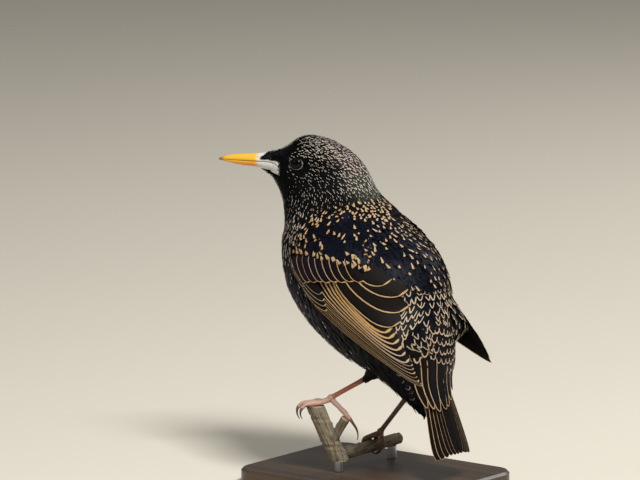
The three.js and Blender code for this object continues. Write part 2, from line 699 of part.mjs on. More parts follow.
// The display stand: a flat base with rounded corners and two short rods up to the perch.
function standBase() {
  const { length, width, corner, thickness, chamfer } = BASE;
  const x = length / 2 - chamfer;
  const y = width / 2 - chamfer;
  const outline = new THREE.Shape();
  outline.moveTo(-x + corner, -y);
  outline.lineTo(x - corner, -y);
  outline.absarc(x - corner, -y + corner, corner, -Math.PI / 2, 0);
  outline.lineTo(x, y - corner);
  outline.absarc(x - corner, y - corner, corner, 0, Math.PI / 2);
  outline.lineTo(-x + corner, y);
  outline.absarc(-x + corner, y - corner, corner, Math.PI / 2, Math.PI);
  outline.lineTo(-x, -y + corner);
  outline.absarc(-x + corner, -y + corner, corner, Math.PI, 1.5 * Math.PI);
  const plate = new THREE.ExtrudeGeometry(outline, {
    depth: thickness - 2 * chamfer,
    bevelEnabled: true,
    bevelThickness: chamfer,
    bevelSize: chamfer,
    bevelSegments: 1,
    curveSegments: 6,
  });
  plate.translate(0, 0, chamfer);
  return solidOf(plate);
}

function rod([x, y, top]) {
  const bottom = -BASE_TOP_BELOW_DATUM + GAP;
  const height = top - GAP - bottom;
  const bar = new THREE.CylinderGeometry(ROD.radius, ROD.radius, height, 20);
  bar.rotateX(Math.PI / 2);
  bar.translate(x, y, bottom + height / 2);
  return solidOf(bar);
}

place(model, 'stand_base', standBase(), standPaint);
place(bird, 'stand_rod_front', rod(ROD.front), rodSteel);
place(bird, 'stand_rod_back', rod(ROD.back), rodSteel);

export default model;
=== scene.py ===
"""A common starling, life size, on a cut forked stem and a flat display stand.

The bird's own frame has -X forward, -Y to its left and +Z up, in millimetres, with its datum in the middle of
the trunk. Every piece is worked out in that frame and put into the model's frame in metres by place().
"""

import math
from functools import partial, reduce

import bpy
import numpy as np
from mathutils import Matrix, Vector


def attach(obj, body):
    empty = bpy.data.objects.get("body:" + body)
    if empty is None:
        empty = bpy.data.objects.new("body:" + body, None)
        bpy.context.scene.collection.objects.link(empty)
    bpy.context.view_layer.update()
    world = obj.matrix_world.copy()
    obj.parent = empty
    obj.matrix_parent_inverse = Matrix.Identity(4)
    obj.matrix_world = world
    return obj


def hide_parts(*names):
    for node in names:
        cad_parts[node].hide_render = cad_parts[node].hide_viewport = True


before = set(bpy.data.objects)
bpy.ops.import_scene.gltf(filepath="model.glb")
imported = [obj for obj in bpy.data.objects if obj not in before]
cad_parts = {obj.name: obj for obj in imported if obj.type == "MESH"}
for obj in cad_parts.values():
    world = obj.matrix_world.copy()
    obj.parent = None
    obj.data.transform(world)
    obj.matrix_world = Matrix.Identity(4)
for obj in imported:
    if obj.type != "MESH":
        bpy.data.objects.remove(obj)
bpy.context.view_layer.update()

MM = 0.001
DATUM = np.array([-12.0, 0.0, 121.0])
DRAW = np.random.default_rng(7)

# Level sections of head, neck, trunk and tail root: height, foremost, rearmost, widest place, half width,
# narrowing of the front towards the bill.
SECTIONS = np.array([
    [57.6, -28.5, -28.5, -28.5, 0, 0],
    [56.8, -33, -22.2, -27.5, 4.6, 0],
    [54.8, -36.8, -16, -25, 7.8, 0],
    [52.4, -40, -11.6, -24, 9.8, 0.1],
    [49.7, -45.2, -7.4, -23, 11.5, 0.25],
    [47.2, -52, -4.3, -22.5, 12.3, 0.45],
    [44, -51.5, -1.4, -22, 12.9, 0.5],
    [40.5, -51.5, 1, -22, 13.2, 0.5],
    [36.3, -48.4, 3.2, -21.5, 14.2, 0.3],
    [30.5, -45.2, 6.2, -20, 16.6, 0.1],
    [25.7, -43.3, 10.8, -17.5, 19.8, 0],
    [19, -41.8, 20, -12.5, 24.5, 0],
    [10.9, -40.8, 32, -5.2, 28.6, 0],
    [5, -42, 40, -2, 30.4, 0],
    [-0.9, -42.4, 45.8, 0.8, 31.6, 0],
    [-12.9, -40.8, 52.2, 5.2, 32.4, 0],
    [-24.9, -36.4, 54.2, 11.5, 31.4, 0],
    [-39.7, -25, 55, 28, 28, 0],
    [-51.4, -8.2, 54.4, 38.5, 24.2, 0],
    [-57.4, 7, 53.8, 41.5, 21.6, 0],
    [-61, 15.5, 53.4, 43, 19.6, 0],
    [-65, 22.5, 53.4, 45, 17, 0],
    [-71, 32, 53.6, 47, 13.6, 0],
    [-77, 41.5, 53, 49, 8.8, 0],
    [-80, 50, 50, 50, 0, 0],
])
LAST = len(SECTIONS) - 1
# The first and last sections are points: nothing is measured or rooted nearer to them than this, in sections.
POLE, ROOT_POLE = 0.03, 0.04
HEAD_TURN = math.radians(30)
TURN_AXIS = -20.0
TURN_STARTS, TURN_ENDS = 8.0, 36.0

# The eye's place on the turned head, its ball's radius and how far the middle lies behind the opening, the
# opening's radius, the lids' ring, the circle that feathers keep clear of, and its gaze ahead, out and up.
EYE = {"ahead": 13.9, "height": 44.3, "radius": 3.6, "sunk": 2.35, "opening": 2.75, "ring": 3.2, "clear": 3.3,
       "gaze": (2.6, 10, 0.9)}

# The bill's sections: distance ahead, heights of the ridge, the mouth line and the underside, half width.
BILL_SECTIONS = np.array([
    [22.5, 50, 40.2, 37.4, 5.3],
    [26.5, 49.2, 43, 38.2, 5.1],
    [30, 48.5, 43.8, 39, 4.7],
    [33, 47.8, 43.9, 39.8, 4.3],
    [38, 47.3, 43.9, 40.9, 3.6],
    [44, 47, 44, 41.4, 2.8],
    [50, 46.3, 44.1, 42.6, 1.8],
    [54.2, 45.1, 44.15, 43.6, 0.8],
    [55.8, 44.5, 44.1, 43.9, 0.1],
])


def place(points):
    """Points of the bird's frame, in millimetres, in the model's frame in metres."""
    return (np.asarray(points) + DATUM) * MM


def smooth(low, high, x):
    """A smooth step from 0 at low to 1 at high: t squared times (3 - 2t)."""
    t = np.clip((x - low) / (high - low), 0, 1)
    return t * t * (3 - 2 * t)


def stacked(*parts):
    """Arrays side by side along a new last axis, spread to one shape first."""
    return np.stack(np.broadcast_arrays(*parts), axis=-1)


def circle(count):
    """A number of angles evenly round a circle."""
    return np.arange(count) / count * 2 * math.pi


def unit(v):
    """Each vector divided by its length."""
    return v / np.maximum(np.linalg.norm(v, axis=-1, keepdims=True), 1e-9)


def dot(a, b):
    """The scalar product along the last axis, kept as an axis."""
    return np.sum(a * b, axis=-1, keepdims=True)


def along(column, u, mirrored=False):
    """A smooth cubic through the values of a column at places u; past a closed end a height is mirrored and a
    size runs on through nought."""
    row = np.clip(np.floor(u).astype(int), 0, len(column) - 2)
    t = u - row
    ends = (column[1], column[-2]) if mirrored else (2 * column[0] - column[1], 2 * column[-1] - column[-2])
    full = np.concatenate([[ends[0]], column, [ends[1]]])
    a, b, c, d = (full[row + k] for k in range(4))
    return b + 0.5 * t * (c - a + t * (2 * a - 5 * b + 4 * c - d + t * (3 * (b - c) + d - a)))


DENSE_U = np.linspace(0, LAST, 4000)
DENSE_Z = along(SECTIONS[:, 0], DENSE_U, True)


def section_at(height):
    """The place in the table of sections at a height, read from a dense table of heights."""
    return np.interp(height, DENSE_Z[::-1], DENSE_U[::-1])


def turned(x, y, z, angle):
    """A point turned by an angle about the upright line through the neck."""
    dx, c, s = x - TURN_AXIS, np.cos(angle), np.sin(angle)
    return stacked(TURN_AXIS + dx * c - y * s, dx * s + y * c, z)


def body(u, angle):
    """The body's surface: at section u, an oval around its widest place with its own reach in front and
    behind, turned by the head's share of the turn at that height. Angle 0 is the back, a quarter turn
    left."""
    z = along(SECTIONS[:, 0], u, True)
    front, back, widest, half, narrowing = (along(SECTIONS[:, k], u) for k in range(1, 6))
    c = np.cos(angle)
    reach = np.where(c > 0, back - widest, widest - front)
    waist = np.where(c > 0, 1, 1 - narrowing * c ** 4)
    turn = HEAD_TURN * smooth(TURN_STARTS, TURN_ENDS, z)
    return turned(widest + reach * c, -half * np.sin(angle) * waist, z, turn)


def body_frame(u, angle):
    """Point, outward normal and the two tangents of the body's surface, by central differences."""
    step = 0.01
    v = np.clip(u, POLE, LAST - POLE)
    down = (body(v + step, angle) - body(v - step, angle)) / (2 * step)
    around = (body(v, angle + step) - body(v, angle - step)) / (2 * step)
    return body(u, angle), unit(np.cross(around, down)), down, around


def head_point(ahead, left, height):
    """A point of the turned head: ahead of the turn's axis, out to the left, and up."""
    return turned(TURN_AXIS - ahead, -left, height, HEAD_TURN)


BILL_ROOT = head_point(np.float64(29), 0.0, 43.5)
NOSTRIL = {"ahead": 34.6, "height": 45.6, "long": 1.7, "tall": 0.55, "depth": 0.16}

# The pale root of the lower half of the bill, bare back to the gape: where it ends and how far it lies under
# the head's side.
BARE = {"back": 24.9, "under": 0.3}


def bare_top(ahead):
    """The height of the bare root's upper border, on the lower edge of the wedge of feathers."""
    return np.interp(ahead, [22, 24.9, 27.3, 29.9, 33.2], [43.2, 44.0, 44.6, 45.2, 45.6])


def bare_floor(ahead):
    """The height of the bare root's lower border, down to the feathers of the chin."""
    return np.interp(ahead, [24.3, 28, 32.8], [36.8, 38.7, 39.9])


def head_half_width(ahead, height):
    """Half the head's width at a distance ahead of the turning line and a height, from the oval there."""
    u = section_at(height)
    front, _, widest, half, narrowing = (along(SECTIONS[:, k], u) for k in range(1, 6))
    c = np.clip((widest - TURN_AXIS + ahead) / (widest - front), 0, 1)
    return half * np.sqrt(1 - c * c) * (1 - narrowing * c ** 4)


def trunk_half_width(x, z):
    """Half the trunk's width at a place in side view: the section's oval at that height."""
    u = section_at(z)
    front, back, widest, half = (along(SECTIONS[:, k], u) for k in range(1, 5))
    reach = np.where(x > widest, back - widest, widest - front)
    c = np.minimum(np.abs(x - widest) / np.maximum(reach, 1e-6), 1)
    return half * np.sqrt(1 - c * c)


# A wing's face: its clearance from the trunk, and a vault with its ridge's distance from the middle plane,
# its arch across and along the wing with the middle of each, and its slope.
WING = {"clear": 2.9, "ridge": 33, "lift": -6, "arch": 0.05, "along": 0.0016, "middle": 40,
        "slope": math.radians(37)}
WRIST = (-18.0, 8.0)
WING_POSE = {"left": (0.0, 0.0), "right": (math.radians(2.6), -3.0)}
SIDES = {"left": 1, "right": -1}
# How far the coverts come down at the wing's border, and the small ones at the shoulder.
COVERT_DIP, SHOULDER_DIP = 3.0, 5.2
# The wing's front and upper border in side view, from the lower edge at the bend to the innermost feather.
WING_BORDER = np.array([[-12, -13.5], [-17.5, -9], [-20.5, -2], [-20.5, 7], [-14, 15], [-3, 18.5], [11, 17],
                        [25, 9], [36, -3], [43, -12], [48, -20], [50, -29], [56, -39], [61, -47], [65, -60]])


def wing_face(x, z):
    """The wing's outer face as a distance from the middle plane: the larger of a shallow vault and the trunk
    plus a clearance, eased into each other."""
    s = x * math.cos(WING["slope"]) - z * math.sin(WING["slope"])
    t = x * math.sin(WING["slope"]) + z * math.cos(WING["slope"])
    vault = WING["ridge"] - WING["along"] * (s - WING["middle"]) ** 2 - WING["arch"] * (t - WING["lift"]) ** 2
    over = trunk_half_width(x, z) + WING["clear"]
    return 0.5 * (vault + over + np.hypot(vault - over, 2))


def about_wrist(x, z, angle):
    """A place of the folded wing in side view, turned by an angle about the wrist."""
    dx, dz = x - WRIST[0], z - WRIST[1]
    return (WRIST[0] + dx * math.cos(angle) - dz * math.sin(angle),
            WRIST[1] + dx * math.sin(angle) + dz * math.cos(angle))


def wing_local(name, x, z):
    """A place in side view taken back to the wing before its own raise."""
    return about_wrist(x, z, -WING_POSE[name][0])


def wing_spread(name, x, z):
    """How far a wing stands out from its face for its pose: it grows with the square of the distance from the
    wrist."""
    return WING_POSE[name][1] * (np.hypot(x - WRIST[0], z - WRIST[1]) / 100) ** 2


def wing_point(name, x, z, height):
    """A point of a folded wing: its place in side view, raised about the wrist, and its height above the
    wing's face."""
    px, pz = about_wrist(x, z, WING_POSE[name][0])
    out = wing_face(px, pz) + height + wing_spread(name, x, z)
    return stacked(px, -SIDES[name] * out, pz)


def border_distance(x, z):
    """The distance of places in side view from the wing's front and upper border, positive inside it."""
    p = stacked(x, z)[..., None, :]
    a, b = WING_BORDER[:-1], WING_BORDER[1:]
    ab = b - a
    t = np.clip(np.sum((p - a) * ab, axis=-1) / np.sum(ab * ab, axis=-1), 0, 1)
    off = p - a - t[..., None] * ab
    nearest = np.argmin(np.sum(off * off, axis=-1), axis=-1)[..., None]
    distance = np.sqrt(np.take_along_axis(np.sum(off * off, axis=-1), nearest, -1))[..., 0]
    cross = ab[:, 0] * off[..., 1] - ab[:, 1] * off[..., 0]
    inside = np.take_along_axis(cross, nearest, -1)[..., 0] < 0
    return np.where(inside, distance, -distance)


# The tail: its root, the angle it hangs at, the arch of its face and its drift to one side.
TAIL = {"x": 51.5, "z": -58.0, "hang": math.radians(72), "arch": 1 / 60, "drift": 0.06}


def tail_point(down, side, height):
    """A point of the tail: a distance down it, out to a side, and above its arched face."""
    lift = height - TAIL["arch"] * side * side
    return stacked(TAIL["x"] + down * math.cos(TAIL["hang"]) + lift * math.sin(TAIL["hang"]),
                     side + down * TAIL["drift"],
                     TAIL["z"] - down * math.sin(TAIL["hang"]) + lift * math.cos(TAIL["hang"]))


# Meshes

def new_object(name, mesh, finish):
    """An object for a mesh, smooth shaded, riding on the one body."""
    mesh.polygons.foreach_set("use_smooth", np.ones(len(mesh.polygons), dtype=bool))
    mesh.materials.append(finish)
    obj = bpy.data.objects.new(name, mesh)
    bpy.context.scene.collection.objects.link(obj)
    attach(obj, "root")
    return obj


def add_uv(mesh, name, values):
    """A UV map from one pair per vertex."""
    corners = np.empty(len(mesh.loops), dtype=np.int32)
    mesh.loops.foreach_get("vertex_index", corners)
    layer = mesh.uv_layers.new(name=name)
    layer.data.foreach_set("uv", values.reshape(-1, 2)[corners].astype(np.float32).ravel())


def add_colour(mesh, name, values):
    """A four-part value per vertex."""
    layer = mesh.attributes.new(name, "FLOAT_COLOR", "POINT")
    layer.data.foreach_set("color", np.ascontiguousarray(values, dtype=np.float32).ravel())


def raw_mesh(name, points, *faces):
    """A mesh from points in the bird's frame and arrays of faces, each array of one number of corners."""
    mesh = bpy.data.meshes.new(name)
    mesh.vertices.add(len(points))
    mesh.vertices.foreach_set("co", place(points).astype(np.float32).ravel())
    loops = np.concatenate([block.ravel() for block in faces]).astype(np.int32)
    mesh.loops.add(len(loops))
    mesh.loops.foreach_set("vertex_index", loops)
    corners = np.concatenate([np.full(len(block), block.shape[-1]) for block in faces])
    mesh.polygons.add(len(corners))
    mesh.polygons.foreach_set("loop_start", (np.cumsum(corners) - corners).astype(np.int32))
    mesh.update(calc_edges=True)
    return mesh


def tube_faces(rows, ring):
    """Faces of a tube of rings: quads between rings, and a cap at each end."""
    r, j = np.meshgrid(np.arange(rows - 1), np.arange(ring), indexing="ij")
    k = (j + 1) % ring
    quads = stacked(r * ring + j, r * ring + k, (r + 1) * ring + k, (r + 1) * ring + j)
    caps = np.stack([np.arange(ring)[::-1], (rows - 1) * ring + np.arange(ring)])
    return quads.reshape(-1, 4), caps


def outward(points, quads, caps):
    """The same faces, turned round if the form's volume comes out negative."""
    a, b, c, d = (points[quads[:, k]] for k in range(4))
    volume = np.sum(np.cross(a, b) * c) + np.sum(np.cross(a, c) * d)
    return (quads, caps) if volume > 0 else (quads[:, ::-1], caps[:, ::-1])


def tubes_mesh(name, tubes, colours=None):
    """One mesh from closed tubes, each a grid of rings, with a colour for each tube or each of its points."""
    points, quads, ends = [], [], []
    start = 0
    for tube in tubes:
        flat = tube.reshape(-1, 3)
        sides, caps = outward(flat, *tube_faces(*tube.shape[:2]))
        points.append(flat)
        quads.append(sides + start)
        ends.append(caps + start)
        start += len(flat)
    mesh = raw_mesh(name, np.concatenate(points), np.concatenate(quads), *ends)
    if colours is not None:
        tints = [np.broadcast_to(colour, tube.shape[:2] + (4,)) for colour, tube in zip(colours, tubes)]
        add_colour(mesh, "tint", np.concatenate([tint.reshape(-1, 4) for tint in tints]))
    return mesh


def distance_along(line):
    """How far each point of a line lies along it from its first."""
    return np.concatenate([[0], np.cumsum(np.linalg.norm(np.diff(line, axis=0), axis=1))])


def read_line(at, places, line):
    """The points of a line, given at some places along it, read at others."""
    return np.stack([np.interp(at, places, column) for column in np.asarray(line, float).T], axis=-1)


def two_across(way, hint):
    """Two directions across a way and across each other, the first of them also across a hint."""
    first = unit(np.cross(way, hint))
    return first, np.cross(way, first)


def feather_mesh(name, top, reference, thickness, finish, half, across, to_tip, mark, tint, bake):
    """Closed vanes from grids of points on their upper faces. Each vane's underside is the upper face moved
    down by its thickness, nought at both side edges, so a cross-section is a thin lens. top is (feathers,
    rows, columns, 3); half is the half width at each row, and across is each column's share of it, from -1 to
    1; to_tip is the distance to the tip at each row; mark and tint are one value per feather; bake is one
    pair per grid point. The maps say how far a point is from the shaft, the tip, the lower edge and the upper
    edge."""
    count, rows, columns, _ = top.shape
    normal = unit(np.cross(np.gradient(top, axis=2), np.gradient(top, axis=1)))
    facing = np.where(dot(normal[:, rows // 2, columns // 2], reference) > 0, 1.0, -1.0)
    normal = normal * facing[:, None, None, :]
    inner = slice(columns - 2, 0, -1)
    thickness = np.broadcast_to(thickness, top.shape[:3])[..., None]
    under = top[:, :, inner] - normal[:, :, inner] * thickness[:, :, inner]
    ring = 2 * columns - 2
    points = np.concatenate([top, under], axis=2)
    quads, caps = tube_faces(rows, ring)
    starts = (np.arange(count) * rows * ring)[:, None, None]
    flip = (facing[:, 0] < 0)[:, None, None]
    quads = np.where(flip, quads[None, :, ::-1], quads[None]) + starts
    caps = np.where(flip, caps[None, :, ::-1], caps[None]) + starts
    mesh = raw_mesh(name, points.reshape(-1, 3), quads.reshape(-1, 4), caps.reshape(-1, ring))

    wide = half[:, :, None]
    to_tip = np.broadcast_to(to_tip[:, :, None], top.shape[:3])
    for key, grid in (("OFBake", bake), ("vane", stacked(wide * across, to_tip)),
                      ("rim", stacked(wide * (1 - across), wide * (1 + across)))):
        add_uv(mesh, key, np.concatenate([grid, grid[:, :, inner]], axis=2))
    for key, values in (("mark", mark), ("tint", np.concatenate([tint, np.ones((count, 1))], axis=1))):
        add_colour(mesh, key, np.broadcast_to(values[:, None, None, :], (count, rows, ring, 4)))

    ends = np.empty(len(mesh.edges) * 2, dtype=np.int32)
    mesh.edges.foreach_get("vertices", ends)
    first, second = (ends.reshape(-1, 2) % ring).T
    sharp = (first == second) & ((first == 0) | (first == columns - 1))
    mesh.attributes.new("sharp_edge", "BOOLEAN", "EDGE").data.foreach_set("value", sharp)
    return new_object(name, mesh, finish)


# Small vanes: the rows' shares of the length, and of the half width as a round vane or a hackle, and of the
# thickness.
SMALL_ROWS = np.array([0, 0.25, 0.5, 0.7, 0.86, 0.955, 1.0])
SMALL_WIDTHS = np.array([0.5, 0.85, 1.0, 0.99, 0.86, 0.64, 0.25])
HACKLE_WIDTHS = np.array([0.6, 0.95, 1.0, 0.82, 0.55, 0.3, 0.1])
THINNING = np.array([1, 1, 1, 0.9, 0.7, 0.5, 0.3])
# A small vane has three columns: an edge, the shaft and the other edge.
THREE = np.array([-1.0, 0.0, 1.0])
# A small vane's own patch on the coat map, half as wide as it is long.
PATCH = 0.003


def root_patch(root):
    """The coat map of small feathers: each is a small patch at its root's place."""
    across, down = np.meshgrid(0.5 * PATCH * THREE, PATCH * (SMALL_ROWS - 0.5))
    return root[:, None, None] + stacked(across, down)


def small_feathers(name, points, normals, sides, length, half, height, bend, mark, tint, finish, root,
                   hackle=0.0, shift=None):
    """Small feathers from the rows of their shafts: point + side * offset + normal * (height + camber -
    bend * offset squared / 2), with the offset from the half width's profile, and a sideways shift a row."""
    w = (SMALL_WIDTHS[None] * (1 - hackle) + HACKLE_WIDTHS[None] * hackle) * half[:, None]
    offset = w[:, :, None] * THREE
    camber = 0.11 * w[:, :, None] * (1 - np.abs(THREE))
    raised = height[:, :, None] + camber - bend[:, :, None] * offset ** 2 / 2
    top = points[:, :, None] + sides[:, :, None] * offset[..., None] + normals[:, :, None] * raised[..., None]
    if shift is not None:
        top[..., 1] += shift[:, :, None]
    thickness = 0.12 * half[:, None, None] * THINNING[None, :, None]
    to_tip = length[:, None] - SMALL_ROWS[None] * length[:, None]
    return feather_mesh(name, top, normals[:, 2], thickness, finish, w, THREE, to_tip, mark, tint,
                        root_patch(root))


# The distance over which the body's bend under a feather is measured, and the heights past which the sections
# close too fast for a feather to be walked along them.
BEND_REACH = 1.5
CROWN, VENT = 51, -70


def body_step(way, down, around, step):
    """How far to move in section and angle for a step along the body's surface: the step's shares of the two
    tangents, from their lengths and the angle between them."""
    g11, g12, g22 = dot(down, down), dot(down, around), dot(around, around)
    r1, r2 = dot(way, down), dot(way, around)
    det = np.maximum(g11 * g22 - g12 * g12, 1e-6)
    return ((r1 * g22 - r2 * g12) / det)[:, 0] * step, ((r2 * g11 - r1 * g12) / det)[:, 0] * step


def body_feathers(name, finish, u, angle, length, half, depth, rise, mark, tint, lean, hackle):
    """Small feathers rooted under the body's surface. Each shaft walks along the surface by the lie of the
    plumage, row by row; near the crown and the vent, where sections close, it is a curved patch instead. It
    rises from its root's depth to a little above the surface at the tip."""
    def frame_at(u_, angle_):
        """The body's frame at a place, with the lie leaned sideways by each feather's own amount."""
        point, normal, down, around = body_frame(u_, angle_)
        lie = lie_of(point, normal, down)
        lie = unit(lie + lean[:, None] * np.cross(normal, lie))
        return point, normal, lie, down, around

    def bend(way):
        """The body's curvature along a way: twice the fall below the tangent over the reach squared."""
        du, da = body_step(way, down, around, BEND_REACH)
        moved = body(np.clip(u + du, 0, LAST), angle + np.clip(da, -0.8, 0.8))
        return np.clip(-2 * dot(moved - point, normal) / BEND_REACH ** 2, -0.02, 0.11)

    point, normal, lie, down, around = frame_at(u, angle)
    side = np.cross(normal, lie)
    curve, across = bend(lie), bend(side)
    s = (SMALL_ROWS[None] * length[:, None])[..., None]
    patch = point[:, None] + lie[:, None] * s - normal[:, None] * curve[:, None] * s ** 2 / 2
    patch_normal = unit(normal[:, None] + lie[:, None] * curve[:, None] * s)
    walked = [(point, normal, side)]
    at_u, at_angle, ways = u, angle, (lie, down, around)
    for share in np.diff(SMALL_ROWS):
        du, da = body_step(*ways, length * share)
        at_u = np.clip(at_u + du, POLE, LAST - POLE)
        at_angle = at_angle + np.clip(da, -0.5, 0.5)
        there, out, *ways = frame_at(at_u, at_angle)
        walked.append((there, out, np.cross(out, ways[0])))
    closing = ((point[:, 2] > CROWN) | (point[:, 2] < VENT))[:, None, None]
    points, normals, sides = (
        np.where(closing, flat, np.stack(grown, axis=1))
        for flat, grown in zip((patch, patch_normal, side[:, None]), zip(*walked)))
    height = -depth[:, None] + (depth + rise)[:, None] * SMALL_ROWS[None] ** 0.7
    root = stacked(0.02 + 0.96 * (angle / (2 * math.pi) % 1), 0.02 + 0.96 * (1 - u / LAST))
    return small_feathers(name, points, normals, sides, length, half, height, across, mark, tint, finish,
                          root, hackle, lift_to_wings(points))


def lie_of(point, normal, down):
    """The lie of the small feathers: away from the bill's root on the head, down the sections on the
    trunk."""
    away = point - BILL_ROOT
    reach = np.linalg.norm(away, axis=-1, keepdims=True)
    away = unit(away + np.array([0, 0, -0.42]) * reach)
    share = smooth(20, 40, point[:, 2:3])
    way = away * share + unit(down) * (1 - share)
    return unit(way - dot(way, normal) * normal)


def lift_to_wings(points):
    """How far sideways the feathers rooted near a folded wing's upper border are carried: over the wing at
    the mantle, and out to the under side of its long feathers at the rump. It grows with nearness to the
    border and with distance from the middle of the back, and ends where the wing leaves the trunk."""
    x, y, z = points[..., 0], points[..., 1], points[..., 2]
    lift = np.zeros_like(y)
    for name, side in SIDES.items():
        flat_x, flat_z = wing_local(name, x, z)
        rump = smooth(28, 41, flat_x)
        share = smooth(-6 - 5 * rump, -0.5, border_distance(flat_x, flat_z))
        share = share * smooth(2 + 2 * rump, 9 + 6 * rump, -side * y)
        share = share * smooth(3, 8, flat_z - wing_low_edge(flat_x)) * smooth(-50, -40, flat_z)
        level = (2.6 + border_dip(flat_x, flat_z, SHOULDER_DIP)) * (1 - rump) - 1.0 * rump
        face = wing_face(x, z) + level + wing_spread(name, x, z)
        lift = lift - side * share * np.clip(face - np.abs(y), 0, 14)
    return lift


def rings_of_roots(levels, spacing):
    """Roots in staggered rings: at each level as many as the ring's length holds, evenly along it."""
    us, angles = [], []
    fine = np.linspace(0, 2 * math.pi, 361)
    for k, (level, gap) in enumerate(zip(levels, spacing)):
        run = distance_along(body(np.full_like(fine, level), fine))
        count = max(int(run[-1] / gap), 3)
        places = (np.arange(count) + 0.5 * (k % 2) + DRAW.uniform(-0.25, 0.25, count)) / count * run[-1]
        angles.append(np.interp(places % run[-1], run, fine))
        us.append(np.full(count, level) + DRAW.uniform(-0.25, 0.25, count) * gap * levels_per_mm(level))
    return np.clip(np.concatenate(us), ROOT_POLE, LAST - ROOT_POLE), np.concatenate(angles)


# The angle round the body where distances down it are measured.
LEFT_SIDE = np.float64(1.2)


def levels_per_mm(u):
    """How many sections one millimetre down the left side spans."""
    a, b = (body(np.float64(np.clip(u + step, 0, LAST)), LEFT_SIDE) for step in (-0.05, 0.05))
    return 0.1 / max(float(np.linalg.norm(b - a)), 0.05)


def spaced_levels(first, last, gap):
    """Levels down the body, a gap apart along its surface; the gap is a function of height."""
    levels, gaps = [], []
    u = first
    while u < last:
        here = gap(float(along(SECTIONS[:, 0], np.array([u]), True)[0]))
        levels.append(u)
        gaps.append(here)
        u += here * 0.92 * levels_per_mm(u)
    return levels, gaps


# Shader groups and materials

# Colours as linear red, green and blue, with 1 for opaque.
PAINT = dict(
    barb_shadow=(0.0015, 0.0015, 0.002, 1), barb_brown=(0.24, 0.13, 0.06, 1),
    vane_beside_rim=(0.0022, 0.002, 0.002, 1), shaft=(0.022, 0.016, 0.011, 1),
    rim_brown=(0.24, 0.14, 0.06, 1), pupil=(0.0008, 0.0008, 0.0008, 1),
    iris_dark=(0.0015, 0.001, 0.0008, 1), iris_ray=(0.010, 0.005, 0.003, 1),
    near_black=(0.003, 0.003, 0.003, 1), lid_rim=(0.23, 0.215, 0.175, 1), bill_yellow=(0.80, 0.46, 0.03, 1),
    # The bill's darker orange is painted shade: its yellow as it looks in shade low down.
    bill_shade_orange=(0.80, 0.26, 0.015, 1), bill_streak=(0.62, 0.34, 0.03, 1), bill_base=(0.74, 0.73, 0.66, 1),
    bill_base_grey=(0.50, 0.51, 0.50, 1), bill_tip=(0.07, 0.035, 0.02, 1), scale_tan=(0.40, 0.19, 0.12, 1),
    scute_edge=(0.52, 0.40, 0.34, 1), scale_gap=(0.12, 0.05, 0.035, 1), claw_dark=(0.018, 0.010, 0.008, 1),
    claw_line=(0.07, 0.04, 0.03, 1), claw_root=(0.20, 0.11, 0.08, 1), bark_dark=(0.085, 0.062, 0.042, 1),
    bark_light=(0.27, 0.22, 0.145, 1), lichen=(0.26, 0.25, 0.19, 1), bark_pore=(0.42, 0.34, 0.23, 1),
    cut_wood=(0.52, 0.40, 0.25, 1), cut_ring=(0.36, 0.25, 0.14, 1), base_wood=(0.018, 0.011, 0.008, 1),
    base_grain=(0.060, 0.034, 0.020, 1), base_line=(0.10, 0.06, 0.035, 1), steel=(0.42, 0.42, 0.43, 1),
    steel_line=(0.62, 0.62, 0.63, 1), floor=(0.64, 0.595, 0.505, 1), floor_pale=(0.67, 0.625, 0.53, 1),
    studio=(0.66, 0.65, 0.61, 1), buff=(0.52, 0.31, 0.115, 1), cream=(0.54, 0.44, 0.28, 1),
    whitish=(0.56, 0.52, 0.46, 1),
)
# How deep a bump of 1 goes, in metres.
FINE, COARSE = 0.0001, 0.0002

